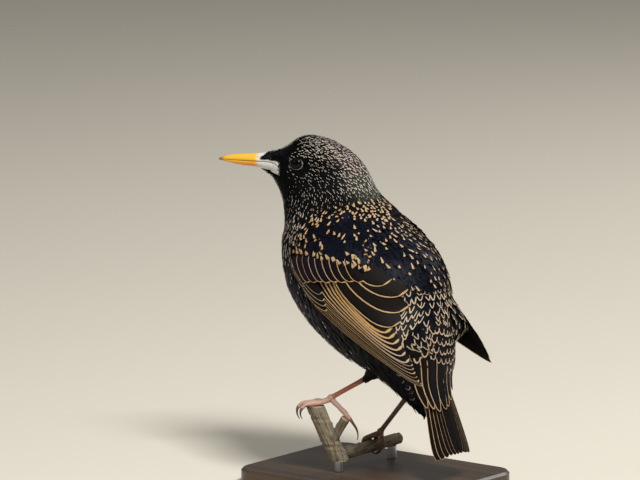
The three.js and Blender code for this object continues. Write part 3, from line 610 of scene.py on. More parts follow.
class Tree:
    """A node tree with short calls for its nodes."""

    def __init__(self, tree, shader=None):
        """Keep the tree, and its shader's inputs if it has one."""
        self.tree = tree
        self.shader = shader

    def node(self, kind, **settings):
        """A new node with its settings."""
        node = self.tree.nodes.new(kind)
        for key, value in settings.items():
            setattr(node, key, value)
        return node

    def feed(self, socket, value):
        """Link an output into a socket, or set the socket's own value."""
        if isinstance(value, bpy.types.NodeSocket):
            self.tree.links.new(value, socket)
        else:
            socket.default_value = value

    def fed(self, kind, inputs, **settings):
        """A new node with its settings and its inputs by name or number."""
        node = self.node(kind, **settings)
        for key, value in inputs.items():
            self.feed(node.inputs[key], value)
        return node

    def math(self, operation, *values, clamp=False):
        """One operation on one or two values."""
        inputs = dict(enumerate(values))
        return self.fed("ShaderNodeMath", inputs, operation=operation, use_clamp=clamp).outputs[0]

    def plus(self, *values):
        """The sum of the values, from the left."""
        return reduce(partial(self.math, "ADD"), values)

    def minus(self, a, b):
        """The first value less the second."""
        return self.math("SUBTRACT", a, b)

    def times(self, *values):
        """The product of the values, from the left."""
        return reduce(partial(self.math, "MULTIPLY"), values)

    def step(self, value, low, high):
        """0 at low and 1 at high, smooth between them; low may lie above high."""
        inputs = {0: value, 1: low, 2: high}
        return self.fed("ShaderNodeMapRange", inputs, interpolation_type="SMOOTHSTEP").outputs[0]

    def mix(self, share, a, b):
        """A colour from a to b by a share."""
        return self.fed("ShaderNodeMix", {0: share, 6: a, 7: b}, data_type="RGBA").outputs[2]

    def noise(self, vector, scale, detail=3.0, roughness=0.5):
        """Soft noise from 0 to 1."""
        inputs = {"Vector": vector, "Scale": scale, "Detail": detail, "Roughness": roughness}
        return self.fed("ShaderNodeTexNoise", inputs).outputs["Fac"]

    def cells(self, vector, scale, **settings):
        """The distance pattern of scattered cells."""
        inputs = {"Vector": vector, "Scale": scale}
        return self.fed("ShaderNodeTexVoronoi", inputs, **settings).outputs["Distance"]

    def stretched(self, vector, scale):
        """A place scaled along each axis."""
        return self.fed("ShaderNodeMapping", {"Vector": vector, "Scale": scale}).outputs[0]

    def streaks(self, vector, scale, detail=3.0, roughness=0.5):
        """Noise drawn out by a scale along each axis."""
        return self.noise(self.stretched(vector, scale), 1.0, detail, roughness)

    def split(self, vector):
        """The three parts of a vector or colour."""
        return self.fed("ShaderNodeSeparateXYZ", {0: vector}).outputs

    def uv(self, name):
        """A UV map of the piece."""
        return self.node("ShaderNodeUVMap", uv_map=name).outputs[0]

    def attribute(self, name):
        """A colour attribute of the piece."""
        return self.node("ShaderNodeAttribute", attribute_name=name).outputs

    def object_place(self):
        """The place in metres in the model's frame."""
        return self.node("ShaderNodeTexCoord").outputs["Object"]

    def use(self, group, **values):
        """A shader group with its inputs by name, with _ for a space."""
        inputs = {key.replace("_", " "): value for key, value in values.items()}
        return self.fed("ShaderNodeGroup", inputs, node_tree=group).outputs

    def cover(self, colour, height=None, strength=1.0, distance=FINE, **more):
        """The shader's colour, its bump from a height, and other inputs that vary over the surface."""
        for key, value in {"Base Color": colour, **more}.items():
            self.feed(self.shader[key], value)
        if height is not None:
            bump = self.fed("ShaderNodeBump", {"Height": height, "Strength": strength, "Distance": distance})
            self.feed(self.shader["Normal"], bump.outputs[0])


def group(name, inputs, outputs):
    """A shader node group with named inputs, each with its default, and named outputs, all of them values."""
    tree = bpy.data.node_groups.new(name, "ShaderNodeTree")
    for key, default in inputs.items():
        socket = tree.interface.new_socket(name=key, in_out="INPUT", socket_type="NodeSocketFloat")
        socket.default_value = default
    for key in outputs:
        tree.interface.new_socket(name=key, in_out="OUTPUT", socket_type="NodeSocketFloat")
    t = Tree(tree)
    start, end = t.node("NodeGroupInput"), t.node("NodeGroupOutput")
    return t, start.outputs, end.inputs


def material(name, roughness=0.5, **sockets):
    """A material with a Principled shader, and constant values set on the shader itself."""
    made = bpy.data.materials.new(name)
    made.use_nodes = True
    shader = made.node_tree.nodes["Principled BSDF"].inputs
    shader["Roughness"].default_value = roughness
    for key, value in sockets.items():
        shader[key.replace("_", " ")].default_value = value
    return made, Tree(made.node_tree, shader)


def tip_spot_group():
    """A pale wedge at a vane's tip: full width at the tip, narrowing to a blunt point up the shaft."""
    inputs = {"Side": 0.0, "Tip": 0.0, "Half Width": 1.0, "Length": 2.0}
    t, i, o = group("tip_spot", inputs, ("Mask", "Depth"))
    up = t.math("DIVIDE", i["Tip"], t.math("MAXIMUM", i["Length"], 0.001), clamp=True)
    room = t.times(i["Half Width"], t.math("POWER", t.minus(1.0, up), 0.55))
    spare = t.minus(room, t.math("ABSOLUTE", i["Side"]))
    soft = t.plus(t.times(i["Half Width"], 0.22), 0.02)
    shown = t.step(spare, t.times(soft, -0.3), soft)
    t.feed(o["Mask"], t.times(shown, t.math("GREATER_THAN", i["Half Width"], 0.05)))
    t.feed(o["Depth"], up)
    return t.tree


def rim_group():
    """A pale border along a vane's edge: within a width of the edge, fading out a reach from the tip."""
    t, i, o = group("pale_rim", {"Edge": 0.0, "Tip": 0.0, "Width": 0.4, "Reach": 99.0}, ("Mask",))
    near = t.step(i["Edge"], t.plus(i["Width"], 0.09), t.minus(i["Width"], 0.09))
    corner = t.times(i["Width"], 1.5)
    at_tip = t.step(i["Tip"], t.plus(corner, 0.1), t.minus(corner, 0.1))
    shown = t.step(i["Tip"], t.times(i["Reach"], 1.15), t.times(i["Reach"], 0.85))
    t.feed(o["Mask"], t.times(t.math("MAXIMUM", near, at_tip), shown))
    return t.tree


def barb_group():
    """Fine slanted barbs on both sides of a raised shaft: a wave in tip distance plus a share of the side
    offset, and a narrow ridge along the middle."""
    t, i, o = group("barbs", {"Side": 0.0, "Tip": 0.0, "Spacing": 0.35, "Shaft": 0.15}, ("Height", "Shaft"))
    off = t.math("ABSOLUTE", i["Side"])
    run = t.plus(t.times(off, 1.1), i["Tip"])
    wave = t.math("SINE", t.times(t.math("DIVIDE", run, i["Spacing"]), 2 * math.pi))
    ridge = t.step(off, i["Shaft"], 0.0)
    t.feed(o["Height"], t.plus(t.times(wave, 0.3), ridge))
    t.feed(o["Shaft"], ridge)
    return t.tree


TIP_SPOT = tip_spot_group()
RIM = rim_group()
BARBS = barb_group()


def feather_maps(t):
    """What a vane's mesh carries: its vane and rim maps, the four parts of its mark and its tint."""
    mark = t.attribute("mark")
    spot, border, warm = t.split(mark["Color"])
    return (t.split(t.uv("vane")), t.split(t.uv("rim")), spot, border, warm, mark["Alpha"],
            t.attribute("tint")["Color"])


def plumage_material(name, roughness, spacing, gloss=0.06, bump=0.2):
    """Feathers. The base colour is the piece's tint, streaked along the barbs and varied by each feather's
    tone; the tip wedge and the border are pale, buff at the very tip and creamy up the shaft, warmer where
    the mark's warmth is high. Each wedge leans, stretches and wavers a little by the feather's tone. Mark
    holds spot, border, warmth and tone."""
    made, t = material(name, roughness, Specular_IOR_Level=0.05)
    vane, rim, spot, border, warm, tone, tint = feather_maps(t)
    slant = t.times(t.minus(tone, 0.45), 1.3, vane[1])
    waver = t.minus(t.noise(t.object_place(), 700.0, 1.0), 0.5)
    off = t.plus(vane[0], slant, t.times(waver, 0.8, spot))
    stretch = t.plus(0.6, t.math("PINGPONG", t.times(tone, 7.0), 1.0))
    length = t.times(t.plus(t.times(spot, 2.3), 0.75), stretch)
    wedge = t.use(TIP_SPOT, Side=off, Tip=vane[1], Half_Width=spot, Length=length)
    edge = t.math("MINIMUM", rim[0], rim[1])
    rim_line = t.use(RIM, Edge=edge, Tip=vane[1], Width=border, Reach=t.times(border, 4.8))["Mask"]
    pale = t.math("MAXIMUM", wedge["Mask"], t.times(rim_line, t.step(border, 0.05, 0.15)))
    barbs = t.use(BARBS, Side=vane[0], Tip=vane[1], Spacing=spacing, Shaft=0.12)
    streak = t.streaks(t.uv("vane"), (9.0, 0.8, 1.0), 2.0)
    shade = t.plus(t.times(tone, 0.9), t.times(streak, 0.9))
    base = t.mix(shade, PAINT["barb_shadow"], tint)
    outer, inner = (t.mix(warm, PAINT["whitish"], PAINT[warmer]) for warmer in ("buff", "cream"))
    light = t.mix(t.step(wedge["Depth"], 0.15, 0.8), outer, inner)
    light = t.mix(t.times(streak, 0.5), light, PAINT["barb_brown"])
    t.cover(t.mix(pale, base, light), barbs["Height"], bump, Metallic=t.times(t.minus(1.0, pale), gloss),
            Roughness=t.plus(roughness, t.times(pale, 0.3)))
    return made


def flight_material(name, lower):
    """Long feathers: a dark base, blacker beside the borders, a paler shaft, and a buff border along one or
    both edges and round the tip, greyer towards the tip. Mark holds the border's width, its reach from the
    tip, warmth and tone."""
    made, t = material(name, 0.5, Specular_IOR_Level=0.05)
    vane, rim, border, reach, warm, tone, tint = feather_maps(t)
    wander = t.times(t.minus(t.streaks(t.uv("vane"), (0.3, 0.35, 1.0)), 0.5), 0.55)
    edge = rim[0] if lower else t.math("MINIMUM", rim[0], rim[1])
    edge = t.plus(edge, t.times(wander, border), t.times(wander, 0.25))
    tip = t.plus(vane[1], wander)
    pale = t.use(RIM, Edge=edge, Tip=tip, Width=border, Reach=t.times(reach, 100.0))["Mask"]
    barbs = t.use(BARBS, Side=vane[0], Tip=vane[1], Spacing=0.5, Shaft=0.22)
    streak = t.streaks(t.uv("vane"), (5.0, 0.25, 1.0))
    base = t.mix(t.plus(t.times(tone, 0.8), t.times(streak, 0.7)), PAINT["near_black"], tint)
    base = t.mix(t.times(t.step(edge, 2.2, 0.4), 0.7), base, PAINT["vane_beside_rim"])
    base = t.mix(t.times(barbs["Shaft"], 0.35), base, PAINT["shaft"])
    far = t.step(vane[1], 30.0, 6.0)
    grey = t.times(t.minus(1.0, warm), t.plus(t.times(far, 0.6), 0.4))
    light = t.mix(t.times(streak, 0.5), t.mix(grey, PAINT["buff"], PAINT["whitish"]), PAINT["rim_brown"])
    t.cover(t.mix(pale, base, light), barbs["Height"], 0.3, Metallic=t.times(t.minus(1.0, pale), 0.06))
    return made


body_plumage = plumage_material("body_plumage", 0.42, 0.4)
head_plumage = plumage_material("head_plumage", 0.46, 0.25, 0.05, 0.15)
wing_plumage = flight_material("wing_plumage", True)
tail_plumage = flight_material("tail_plumage", False)


def skin_material():
    """The skin under the plumage: its own dark tint, with faint small pale flecks like the feather tips."""
    made, t = material("skin", 0.7, Specular_IOR_Level=0.3)
    where = t.object_place()
    fleck = t.step(t.cells(where, 320.0), 0.26, 0.16)
    colour = t.mix(t.times(fleck, 0.08), t.attribute("tint")["Color"], PAINT["cream"])
    t.cover(colour, t.noise(where, 900.0), 0.4, COARSE)
    return made


# Colours and marks of the plumage, by place on the body

def region_tints_and_sheen(point, angle):
    """The base colour at each root: black face, purple-brown hind crown, grey-green nape, blue-black mantle,
    violet-black breast and brown-black belly. The purple-brown, grey-green, blue and violet are the plumage's
    iridescent gloss, painted into the base colour as sheen. Returned as red, green, blue."""
    z, back = point[:, 2], np.cos(angle)
    nape = smooth(27, 32, z) * smooth(46, 38, z) * smooth(0.3, 0.9, back) * 0.85
    tint = np.broadcast_to([0.0045, 0.0046, 0.0055], point.shape)
    # Painted sheen: the blue, purple-brown, grey-green and violet tints below stand for the plumage's
    # iridescent gloss.
    for share, colour in (
            (smooth(26, 16, z) * smooth(-0.5, 0.3, back), [0.0038, 0.0046, 0.0095]),
            (smooth(30, 38, z) * smooth(0.1, 0.9, back) * smooth(38, 46, z) * 0.85, [0.060, 0.034, 0.036]),
            (nape, [0.056, 0.064, 0.045]),
            (smooth(14, 0, z) * smooth(-0.2, -0.7, back) * smooth(-40, -20, z), [0.007, 0.007, 0.021]),
            (smooth(-16, -34, z) * smooth(0, 0.5, back), [0.006, 0.006, 0.009])):
        tint = tint * (1 - share[:, None]) + np.array(colour) * share[:, None]
    return tint * DRAW.uniform(0.7, 1.3, (len(z), 1))


def scatter(share, low, high):
    """A size between low and high for that share of the feathers, nought for the rest."""
    return (DRAW.random(len(share)) < share) * DRAW.uniform(low, high)


def finish_marks(spot, border, warm):
    """Marks as four values a feather: spot, border, warmth and a random tone."""
    return stacked(spot, border, warm, DRAW.uniform(0.15, 0.75, len(spot)))


def plain_marks(count):
    """The marks of feathers with no spot and no border."""
    return finish_marks(*np.zeros((3, count)))


def trunk_skin():
    """The skin's rings and tints: the body's surface moved in by the plumage's depth, thinnest at the bill,
    and pressed in behind each eye's opening."""
    rows, ring = 150, 96
    u = np.linspace(ROOT_POLE, LAST - ROOT_POLE, rows)
    u, angle = (grid.ravel() for grid in np.meshgrid(u, circle(ring), indexing="ij"))
    point, normal, _, _ = body_frame(u, angle)
    depth = 0.5 + 0.9 * smooth(4, 22, np.linalg.norm(point - BILL_ROOT, axis=1))
    inner = point - normal * depth[:, None]
    socket = EYE["radius"] + 0.25
    for side in SIDES.values():
        _, gaze, middle = eye_place(side)
        reach = np.linalg.norm(inner - middle, axis=1, keepdims=True)
        inner = np.where(reach < socket, inner - gaze * 1.2 * smooth(socket, 1.5, reach), inner)
    # The skin takes the plumage's tints at 0.8 of their strength, painted sheen included.
    tint = np.concatenate([region_tints_and_sheen(point, angle) * 0.8, np.ones((len(u), 1))], axis=1)
    return inner.reshape(rows, ring, 3), tint.reshape(rows, ring, 4)


def eye_place(side):
    """Where an eye's opening is on the head, the way it looks, and the middle of its ball."""
    ahead, z = np.float64(EYE["ahead"]), EYE["height"]
    out = head_half_width(ahead, np.float64(z))
    surface = head_point(ahead, side * out, z)
    forward, sideways, up = EYE["gaze"]
    gaze = unit(head_point(ahead + forward, side * (out + sideways), z + up) - surface)
    return surface, gaze, surface - gaze * EYE["sunk"]


def eye_distance(point):
    """The distance of each point from the nearer eye's opening."""
    return np.minimum(*[np.linalg.norm(point - eye_place(side)[0], axis=-1) for side in SIDES.values()])


def plumage_map(u, angle):
    """The roots that a feather grows from, with what the plumage needs to know at each: its place, distances
    from the bill, the eye and the wings' borders, and the room before an eye. None is rooted under a wing, on
    the bill or its bare root, in an eye's ring or in the tail's seat."""
    point, normal, down, _ = body_frame(u, angle)
    x, y, z = point.T
    back, left = np.cos(angle), np.sin(angle)
    near, under = np.full(len(u), -99.0), np.zeros(len(u), dtype=bool)
    for name, side in SIDES.items():
        flat_x, flat_z = wing_local(name, x, z)
        here = np.where(side * left > 0, border_distance(flat_x, flat_z), -99)
        inside = here > 3.0 + 3 * smooth(30, 42, flat_x)
        under |= inside & (flat_z > wing_low_edge(flat_x) + 4) & (np.abs(y) > 10)
        near = np.maximum(near, here)
    forward = np.array([math.cos(HEAD_TURN), math.sin(HEAD_TURN), 0])
    ahead = -(point - [TURN_AXIS, 0, 0]) @ forward
    in_bill = (ahead > 28.6) & (z > 38) & (z < 49.8)
    bare = (ahead > BARE["back"]) & (z > bare_floor(ahead) + 0.2) & (z < bare_top(ahead) + 0.5) & (z < 47)
    seat = (z < -62) & (back > 0.6) & (np.abs(y - 1) < 9)
    from_eye = eye_distance(point)
    keep = ~under & (from_eye > EYE["clear"]) & ~in_bill & ~bare & ~seat
    at = dict(point=point, x=x, y=y, z=z, back=back, from_bill=np.linalg.norm(point - BILL_ROOT, axis=1),
              from_eye=from_eye, near=near, room=eye_room(point, lie_of(point, normal, down)))
    return u[keep], angle[keep], {key: values[keep] for key, values in at.items()}


def rump_share(at):
    """How far a root belongs to the rump: squarely at the back and low down, from a line that is higher
    beside the left wing than across the middle."""
    top = -5.5 + 4.5 * smooth(8, 20, np.abs(at["y"]))
    return smooth(top, top - 6, at["z"]) * smooth(0.05, 0.4, at["back"])


def eye_room(point, lie):
    """How long a feather may be before it runs over an eye's lids: the way along its lie to a circle round
    the eye's opening, or no limit for one that passes by."""
    room = np.full(len(point), 99.0)
    for side in SIDES.values():
        to_eye = eye_place(side)[0] - point
        along_lie = dot(to_eye, lie)[:, 0]
        miss = np.sqrt(np.maximum(np.sum(to_eye ** 2, axis=1) - along_lie ** 2, 0))
        reach = np.maximum(along_lie - np.sqrt(np.maximum(EYE["clear"] ** 2 - miss ** 2, 0)), 0.7)
        room = np.where((miss < EYE["clear"]) & (along_lie > 0), np.minimum(room, reach), room)
    return room


def spots_and_borders(at):
    """The pale marks by region: fine streaks on the head but not the face, buff rows where neck meets mantle,
    sparse wedges on the mantle, more of them on its right, above the shoulder and at the wing's bend,
    chevrons on the rump and faint specks below."""
    x, y, z, back, from_bill = at["x"], at["y"], at["z"], at["back"], at["from_bill"]
    n = len(z)
    slope = z - 0.16 * x
    rise = 4.6 + 1.6 * smooth(0.2, 0.8, back)
    head = smooth(22.2, 24.4, slope - rise)
    plain = (smooth(15, 9, from_bill) + smooth(5.5, 3.2, at["from_eye"])
             + smooth(24, 12, from_bill) * smooth(-0.5, -0.85, back) * smooth(30, 34, z))
    rear = smooth(0.1, 0.6, back) * smooth(30, 36, z)
    crown = np.maximum(smooth(46, 51, z), rear)
    front = smooth(0.1, -0.4, back) * smooth(36, 22, z)
    head_spot = (scatter(np.clip(0.78 + 0.2 * crown - plain, 0.04, 1), 0.16, 0.26)
                 * (1 + 0.95 * crown + 0.45 * rear + 0.9 * front))
    lowest = 10 + 6 * smooth(5, 12, np.abs(y))
    border_rows = (smooth(24, 21.5, slope - rise) * smooth(lowest, lowest + 3.5, slope - rise)
                   * smooth(-0.5, -0.1, back))
    shoulder = smooth(9, 14, np.abs(y)) * smooth(16, 10, x) * smooth(-9, -5, x) * smooth(15, 10, slope)
    bend = smooth(-6, -10, x) * smooth(24, 18, slope) * smooth(-6, 4, z) * smooth(-0.75, -0.45, back)
    scapular = smooth(-4, 0, at["near"]) * smooth(18, 26, x) * smooth(-14, -6, z)
    mantle = smooth(20, 15, slope) * smooth(-0.6, -0.1, back) * smooth(-12, -5, z)
    rump = rump_share(at)
    breast = smooth(-0.15, -0.5, back) * (1 - head)
    right_back = smooth(-10, 2, y)
    ordinary = (0.5 + 0.42 * right_back) * (1 - 0.85 * shoulder)
    often = np.maximum(ordinary * mantle, np.maximum(0.65 * scapular, 0.85 * bend))
    spot = (scatter(border_rows * 0.9, 0.7, 0.95)
            + scatter(often * (1 - border_rows), 0.5, 0.9) * (1 - 0.18 * right_back))
    chest = smooth(-12, 8, z)
    speck = scatter(breast * (0.3 + 0.7 * chest), 0.26, 0.42) * (1 + 0.9 * chest)
    spot = np.maximum(spot * (1 - breast), speck)
    spot = np.where(DRAW.random(n) < head, head_spot, spot) * (1 - rump)
    border = rump * (DRAW.random(n) < 0.97) * DRAW.uniform(0.5, 0.7, n)
    warm = (0.12 + 0.85 * smooth(28, 22, z - rise) * smooth(-0.5, 0, back) - 0.2 * smooth(0.4, 0.95, back)
            + DRAW.uniform(-0.15, 0.15, n))
    return finish_marks(spot, border, np.clip(warm, 0, 1))


# Sizes of the small feathers and the gaps between their roots, in millimetres, by height on the body.
HEIGHTS = [-70, -45, -15, 8, 18, 28, 38, 48, 57]
LENGTHS = [10, 9.5, 9, 8.6, 7.4, 6.0, 5.0, 4.6, 4.2]
SPOTTED_HALVES = [2.0, 2.3, 2.2, 2.0, 1.7, 0.85, 0.62, 0.54, 0.5]
DARK_HALVES = [0.95, 0.95, 0.9, 0.85, 0.75, 0.6, 0.42, 0.34, 0.32]
GAP_HEIGHTS = [-78, -55, -40, -20, 4, 12, 17, 23, 31, 38, 46, 57]
GAPS = {"spotted": [3.3, 3.3, 3.2, 3.3, 3.7, 3.2, 2.6, 1.95, 1.6, 1.4, 1.35, 1.3],
        "dark": [1.9, 1.8, 1.8, 1.75, 1.7, 1.6, 1.45, 1.3, 1.1, 0.95, 0.9, 0.86]}


def growth(kind, u, angle, at):
    """Feathers of one kind at the given roots: lengths and widths by region, with spots, borders and
    colours."""
    n = len(u)
    z, back, from_bill, from_eye = at["z"], at["back"], at["from_bill"], at["from_eye"]
    jitter = lambda low, high: DRAW.uniform(low, high, n)
    spotted = kind == "spotted"
    mark = spots_and_borders(at) if spotted else plain_marks(n)
    length = np.interp(z, HEIGHTS, LENGTHS) * jitter(0.88, 1.12)
    half = np.interp(z, HEIGHTS, SPOTTED_HALVES) * jitter(0.9, 1.1)
    rump = rump_share(at)
    throat = smooth(-0.1, -0.7, back) * smooth(0, 14, z) * smooth(44, 34, z)
    if spotted:
        marked = np.maximum(mark[:, 0], mark[:, 1]) > 0.1
        half = half * np.where(marked, 1 - 0.06 * rump, 0.6) * (1 - 0.35 * smooth(-0.1, -0.5, back))
    else:
        length = length * 0.85
        half = np.interp(z, HEIGHTS, DARK_HALVES) * jitter(0.8, 1.2)
    shrink = 1 - 0.5 * smooth(24, 6, from_bill) - 0.35 * smooth(9, 3, from_eye)
    length = np.minimum(np.maximum(length * shrink * (1 + 0.2 * throat), 1.2), at["room"])
    half = half * (1 - 0.3 * smooth(20, 6, from_bill)) * (1 - 0.3 * throat)
    depth = 0.4 + 0.85 * smooth(4, 22, from_bill) - 0.35 * smooth(8, 3.5, from_eye)
    rise = np.interp(z, [-70, -30, 10, 30, 57], [0.6, 0.6, 0.35, 0.2, 0.12]) * jitter(0.5, 1.5)
    if not spotted:
        rise = rise * jitter(-0.2, 1.3) * (1 - rump) - 0.35 * rump
    lean = DRAW.normal(0, 0.09 if spotted else 0.2, n)
    tint = region_tints_and_sheen(at["point"], angle)
    hackle = 0.75 * smooth(20, 32, z) + 0.8 * throat + (1.0 * rump if spotted else 0.6)
    hackle = np.clip(hackle, 0, 1)[:, None]
    low_rump = (z < -42.5 - 0.45 * at["y"]) & (back > 0.25) & spotted
    for name, chosen, finish in (
            ("head", z > 33, head_plumage), ("neck", (z <= 33) & (z > 12), head_plumage),
            ("back", (z <= 12) & (back > -0.15), body_plumage),
            ("breast", (z <= 12) & (z > -30) & (back <= -0.15), body_plumage),
            ("belly", (z <= -30) & (back <= -0.15), body_plumage)):
        chosen = chosen & ~low_rump
        piece = body_feathers(f"{name}_{kind}_feathers", finish, *(
            values[chosen] for values in (u, angle, length, half, depth, rise, mark, tint, lean, hackle)))


def coat():
    """The small feathers of head, neck and trunk: spotted ones on a coarse lattice, and a finer dark growth
    between and under them, in pieces by region."""
    for kind, gaps in GAPS.items():
        gap = lambda z: float(np.interp(z, GAP_HEIGHTS, gaps))
        growth(kind, *plumage_map(*rings_of_roots(*spaced_levels(0.15, LAST - 0.3, gap))))


def wing_low_edge(x):
    """The height of the wing's lower edge at a place along the body, from its outermost feather's line."""
    return np.interp(x, [-22, -19.5, -11, 4, 21.7, 35.4, 45, 56, 64],
                     [-3, -11.5, -15.8, -26, -39.3, -48.5, -54, -57.6, -58.8])


# Long vanes: the rows' shares of the length, and of the half width with a round or a pointed tip.
VANE_ROWS = np.array([0, 0.1, 0.2, 0.32, 0.44, 0.56, 0.67, 0.77, 0.85, 0.91, 0.955, 0.985, 1.0])
VANE_WIDTHS = np.array([0.55, 0.8, 0.92, 0.98, 1, 1, 0.98, 0.94, 0.86, 0.74, 0.58, 0.38, 0.12])
POINTED_WIDTHS = np.array([0.55, 0.85, 0.97, 1, 1, 0.97, 0.9, 0.8, 0.68, 0.54, 0.4, 0.24, 0.06])
# A long vane has seven columns from its lower to its upper edge.
SEVEN = np.linspace(-1, 1, 7)


def vane_map(count):
    """The coat map of long feathers: each vane is flattened into its own cell of a square sheet."""
    columns = math.ceil(math.sqrt(count))
    cell = stacked(np.arange(count) % columns, np.arange(count) // columns)[:, None, None]
    across, down = np.meshgrid(np.linspace(0.08, 0.92, len(SEVEN)), 0.08 + 0.84 * VANE_ROWS)
    return (cell + stacked(across, down)[None]) / columns


def long_feathers(name, surface, tiers, finish, reference):
    """Tiers of long feathers on a surface given by a flat place and a height. A shaft runs from root to tip
    as root + (tip - root) t + side * bow * 4 t (1 - t); the vane's half width follows a profile, and one edge
    is raised over its neighbour. A tier's lists are spread evenly over its feathers."""
    grown = []
    rows = VANE_ROWS[None, :, None]
    for tier in tiers:
        n = tier["count"]
        table = lambda key: read_line(np.linspace(0, 1, n), np.linspace(0, 1, len(tier[key])),
                                      np.array(tier[key], float).reshape(len(tier[key]), -1))
        pair = lambda key: table(key)[:, 0]
        stray = tier.get("stray", 0.35)
        root, tip = table("roots"), table("tips") + DRAW.uniform(-stray, stray, (n, 2))
        way = tip - root
        length = np.linalg.norm(way, axis=1)
        side = stacked(way[:, 1], -way[:, 0]) / length[:, None]
        pointed = tier.get("pointed", 0)
        half = (POINTED_WIDTHS * pointed + VANE_WIDTHS * (1 - pointed))[None] * pair("half")[:, None]
        off = pair("bow")[:, None] * 4 * VANE_ROWS * (1 - VANE_ROWS)
        offset = off[:, :, None] + half[:, :, None] * SEVEN
        flat = (root[:, None, None] + way[:, None, None] * rows[..., None]
                + side[:, None, None] * offset[..., None])
        level = (pair("height")[:, None, None] + tier["tilt"] * SEVEN + 0.16 * (1 - np.abs(SEVEN))
                 - tier.get("settle", 0) * rows ** 2
                 - tier.get("sink", 1.2) * (1 - smooth(0, tier.get("buried", 0.25), rows)))
        top = surface(flat[..., 0], flat[..., 1], level)
        reach = pair("reach") / 100 if "reach" in tier else np.full(n, 0.99)
        mark = stacked(pair("edge") * DRAW.uniform(0.65, 1.35, n), reach, pair("warm"),
                         DRAW.uniform(0.3, 0.7, n))
        to_tip = length[:, None] * (1 - VANE_ROWS)
        grown.append((top, reference(top[:, 6, 3]), half, to_tip, mark, table("tint")))
    top, facing, half, to_tip, mark, tint = (np.concatenate(part) for part in zip(*grown))
    return feather_mesh(name, top, facing, 0.3 * (1 - SEVEN * SEVEN), finish, half, SEVEN, to_tip, mark, tint,
                        vane_map(len(top)))


BROWN = [0.0115, 0.0095, 0.0075]
DARK_BROWN = [0.0085, 0.0072, 0.0065]
# Navy and purple stand for the coverts' iridescent gloss: painted sheen.
NAVY_SHEEN = [0.007, 0.007, 0.020]
PURPLE_SHEEN = [0.022, 0.012, 0.022]
BLUE_BLACK = [0.007, 0.007, 0.010]

# Tiers of long feathers. The lists run from the first feather to the last: places of root and tip, half
# width, bow of the shaft, height over the face, width and warmth of the pale border, how far it reaches from
# the tip, and tint. Tilt raises one edge over the next feather, settle lowers the tip, sink lowers the root
# over the buried share of the shaft, pointed narrows the tip, and stray moves it at random. A wing's places
# are those of its side view.
FLIGHT = [
    dict(count=8, roots=[(-13, -10.5), (-2, -8)], tips=[(63.8, -58.6), (62.2, -55.2), (58.8, -48.6)],
         half=[3.3, 3.8], bow=[3.2, 2.2], height=[0.1, 0.25], tilt=0.5, pointed=0.7, edge=[0.26, 0.34],
         warm=[0.6, 0.5], tint=[BROWN]),
    dict(count=6, roots=[(0, -8), (13, -3)], tips=[(57, -46.6), (44.6, -32.4)],
         half=[3.9, 4.3], bow=[2.2, 2.8], height=[0.3, 0.5], tilt=0.5, edge=[0.55, 0.8], warm=[0.4, 1.0],
         tint=[BROWN]),
    dict(count=3, roots=[(12, -1), (21, 4)], tips=[(46.8, -29), (47.4, -22.4), (46, -14.2)],
         half=[5.2, 4.8], bow=[3], height=[1.2, 1.4], tilt=0.45, settle=0.5, edge=[0.55, 0.52], warm=[0.8],
         tint=[BROWN]),
    dict(count=1, roots=[(24, 4)], tips=[(39.8, -8.8)],
         half=[4.2], bow=[2.6], height=[1.6], tilt=0.45, settle=0.5, edge=[0.5], warm=[0.8], tint=[BROWN],
         sink=4.5, buried=0.62),
]
COVERTS = [
    dict(count=2, roots=[(-18.5, -5), (-17, -3)], tips=[(-6.8, -14.2), (-5, -12.6)],
         half=[2.0, 2.2], bow=[0.8], height=[1.6, 1.9], tilt=0.25, settle=0.2, pointed=0.5, edge=[0.26, 0.22],
         warm=[0.1, 0.2], tint=[DARK_BROWN]),
    dict(count=4, roots=[(-15, -7.5), (-8, -6)], tips=[(8.0, -25.2), (7.4, -21.4), (5.2, -16.6)],
         half=[2.2, 2.6], bow=[1.6, 1.2], height=[1.2, 1.4], tilt=0.3, settle=0.2, pointed=0.3,
         edge=[0.36, 0.3], warm=[0.7, 0.45], tint=[BROWN]),
    # The greater coverts: painted purple sheen near the bend, then painted navy sheen, then dark brown.
    dict(count=10, roots=[(-18.5, 2), (20, 8)], tips=[(-11, -12.2), (28.5, -8.4)],
         half=[3.0, 3.6], bow=[0.8, 1.6], height=[2.0, 2.1], tilt=0.45, settle=0.5, edge=[0.28, 0.38],
         warm=[0.8, 0.95], tint=[PURPLE_SHEEN, NAVY_SHEEN, DARK_BROWN]),
]


def border_dip(x, z, deep=COVERT_DIP):
    """How far the coverts come down to the trunk at the wing's front and upper border."""
    return -deep * (1 - smooth(-2.0, 6.0, border_distance(x, z)))


def wing_pieces(name):
    """A folded wing: its bed, its long feathers and coverts, and rows of small coverts up to the shoulder."""
    flat = lambda x, z, level: wing_point(name, x, z, level)
    dipped = lambda x, z, level: wing_point(name, x, z, level + border_dip(x, z))
    sunk = lambda x, z, level: wing_point(name, x, z, level + border_dip(x, z, SHOULDER_DIP))
    facing = lambda p: np.broadcast_to([0.0, -float(SIDES[name]), 0.0], p.shape)
    flight = long_feathers(f"wing_{name}_flight", flat, FLIGHT, wing_plumage, facing)
    coverts = long_feathers(f"wing_{name}_coverts", dipped, COVERTS, wing_plumage, facing)
    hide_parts(f"wing_{name}")
    small_coverts(name, sunk, facing)
    wing_bed(name)


COVERT_ROWS = 9
LOWEST_ROW = np.array([[-15.5, 1.6], [-6, 1.4], [6, 0.8], [14, 0.2], [24, -1.8], [33, -4.6]])
HIGHEST_ROW = np.array([[-18, 10], [-11, 15], [-1, 17], [9, 16], [18, 12.5], [28, 6]])


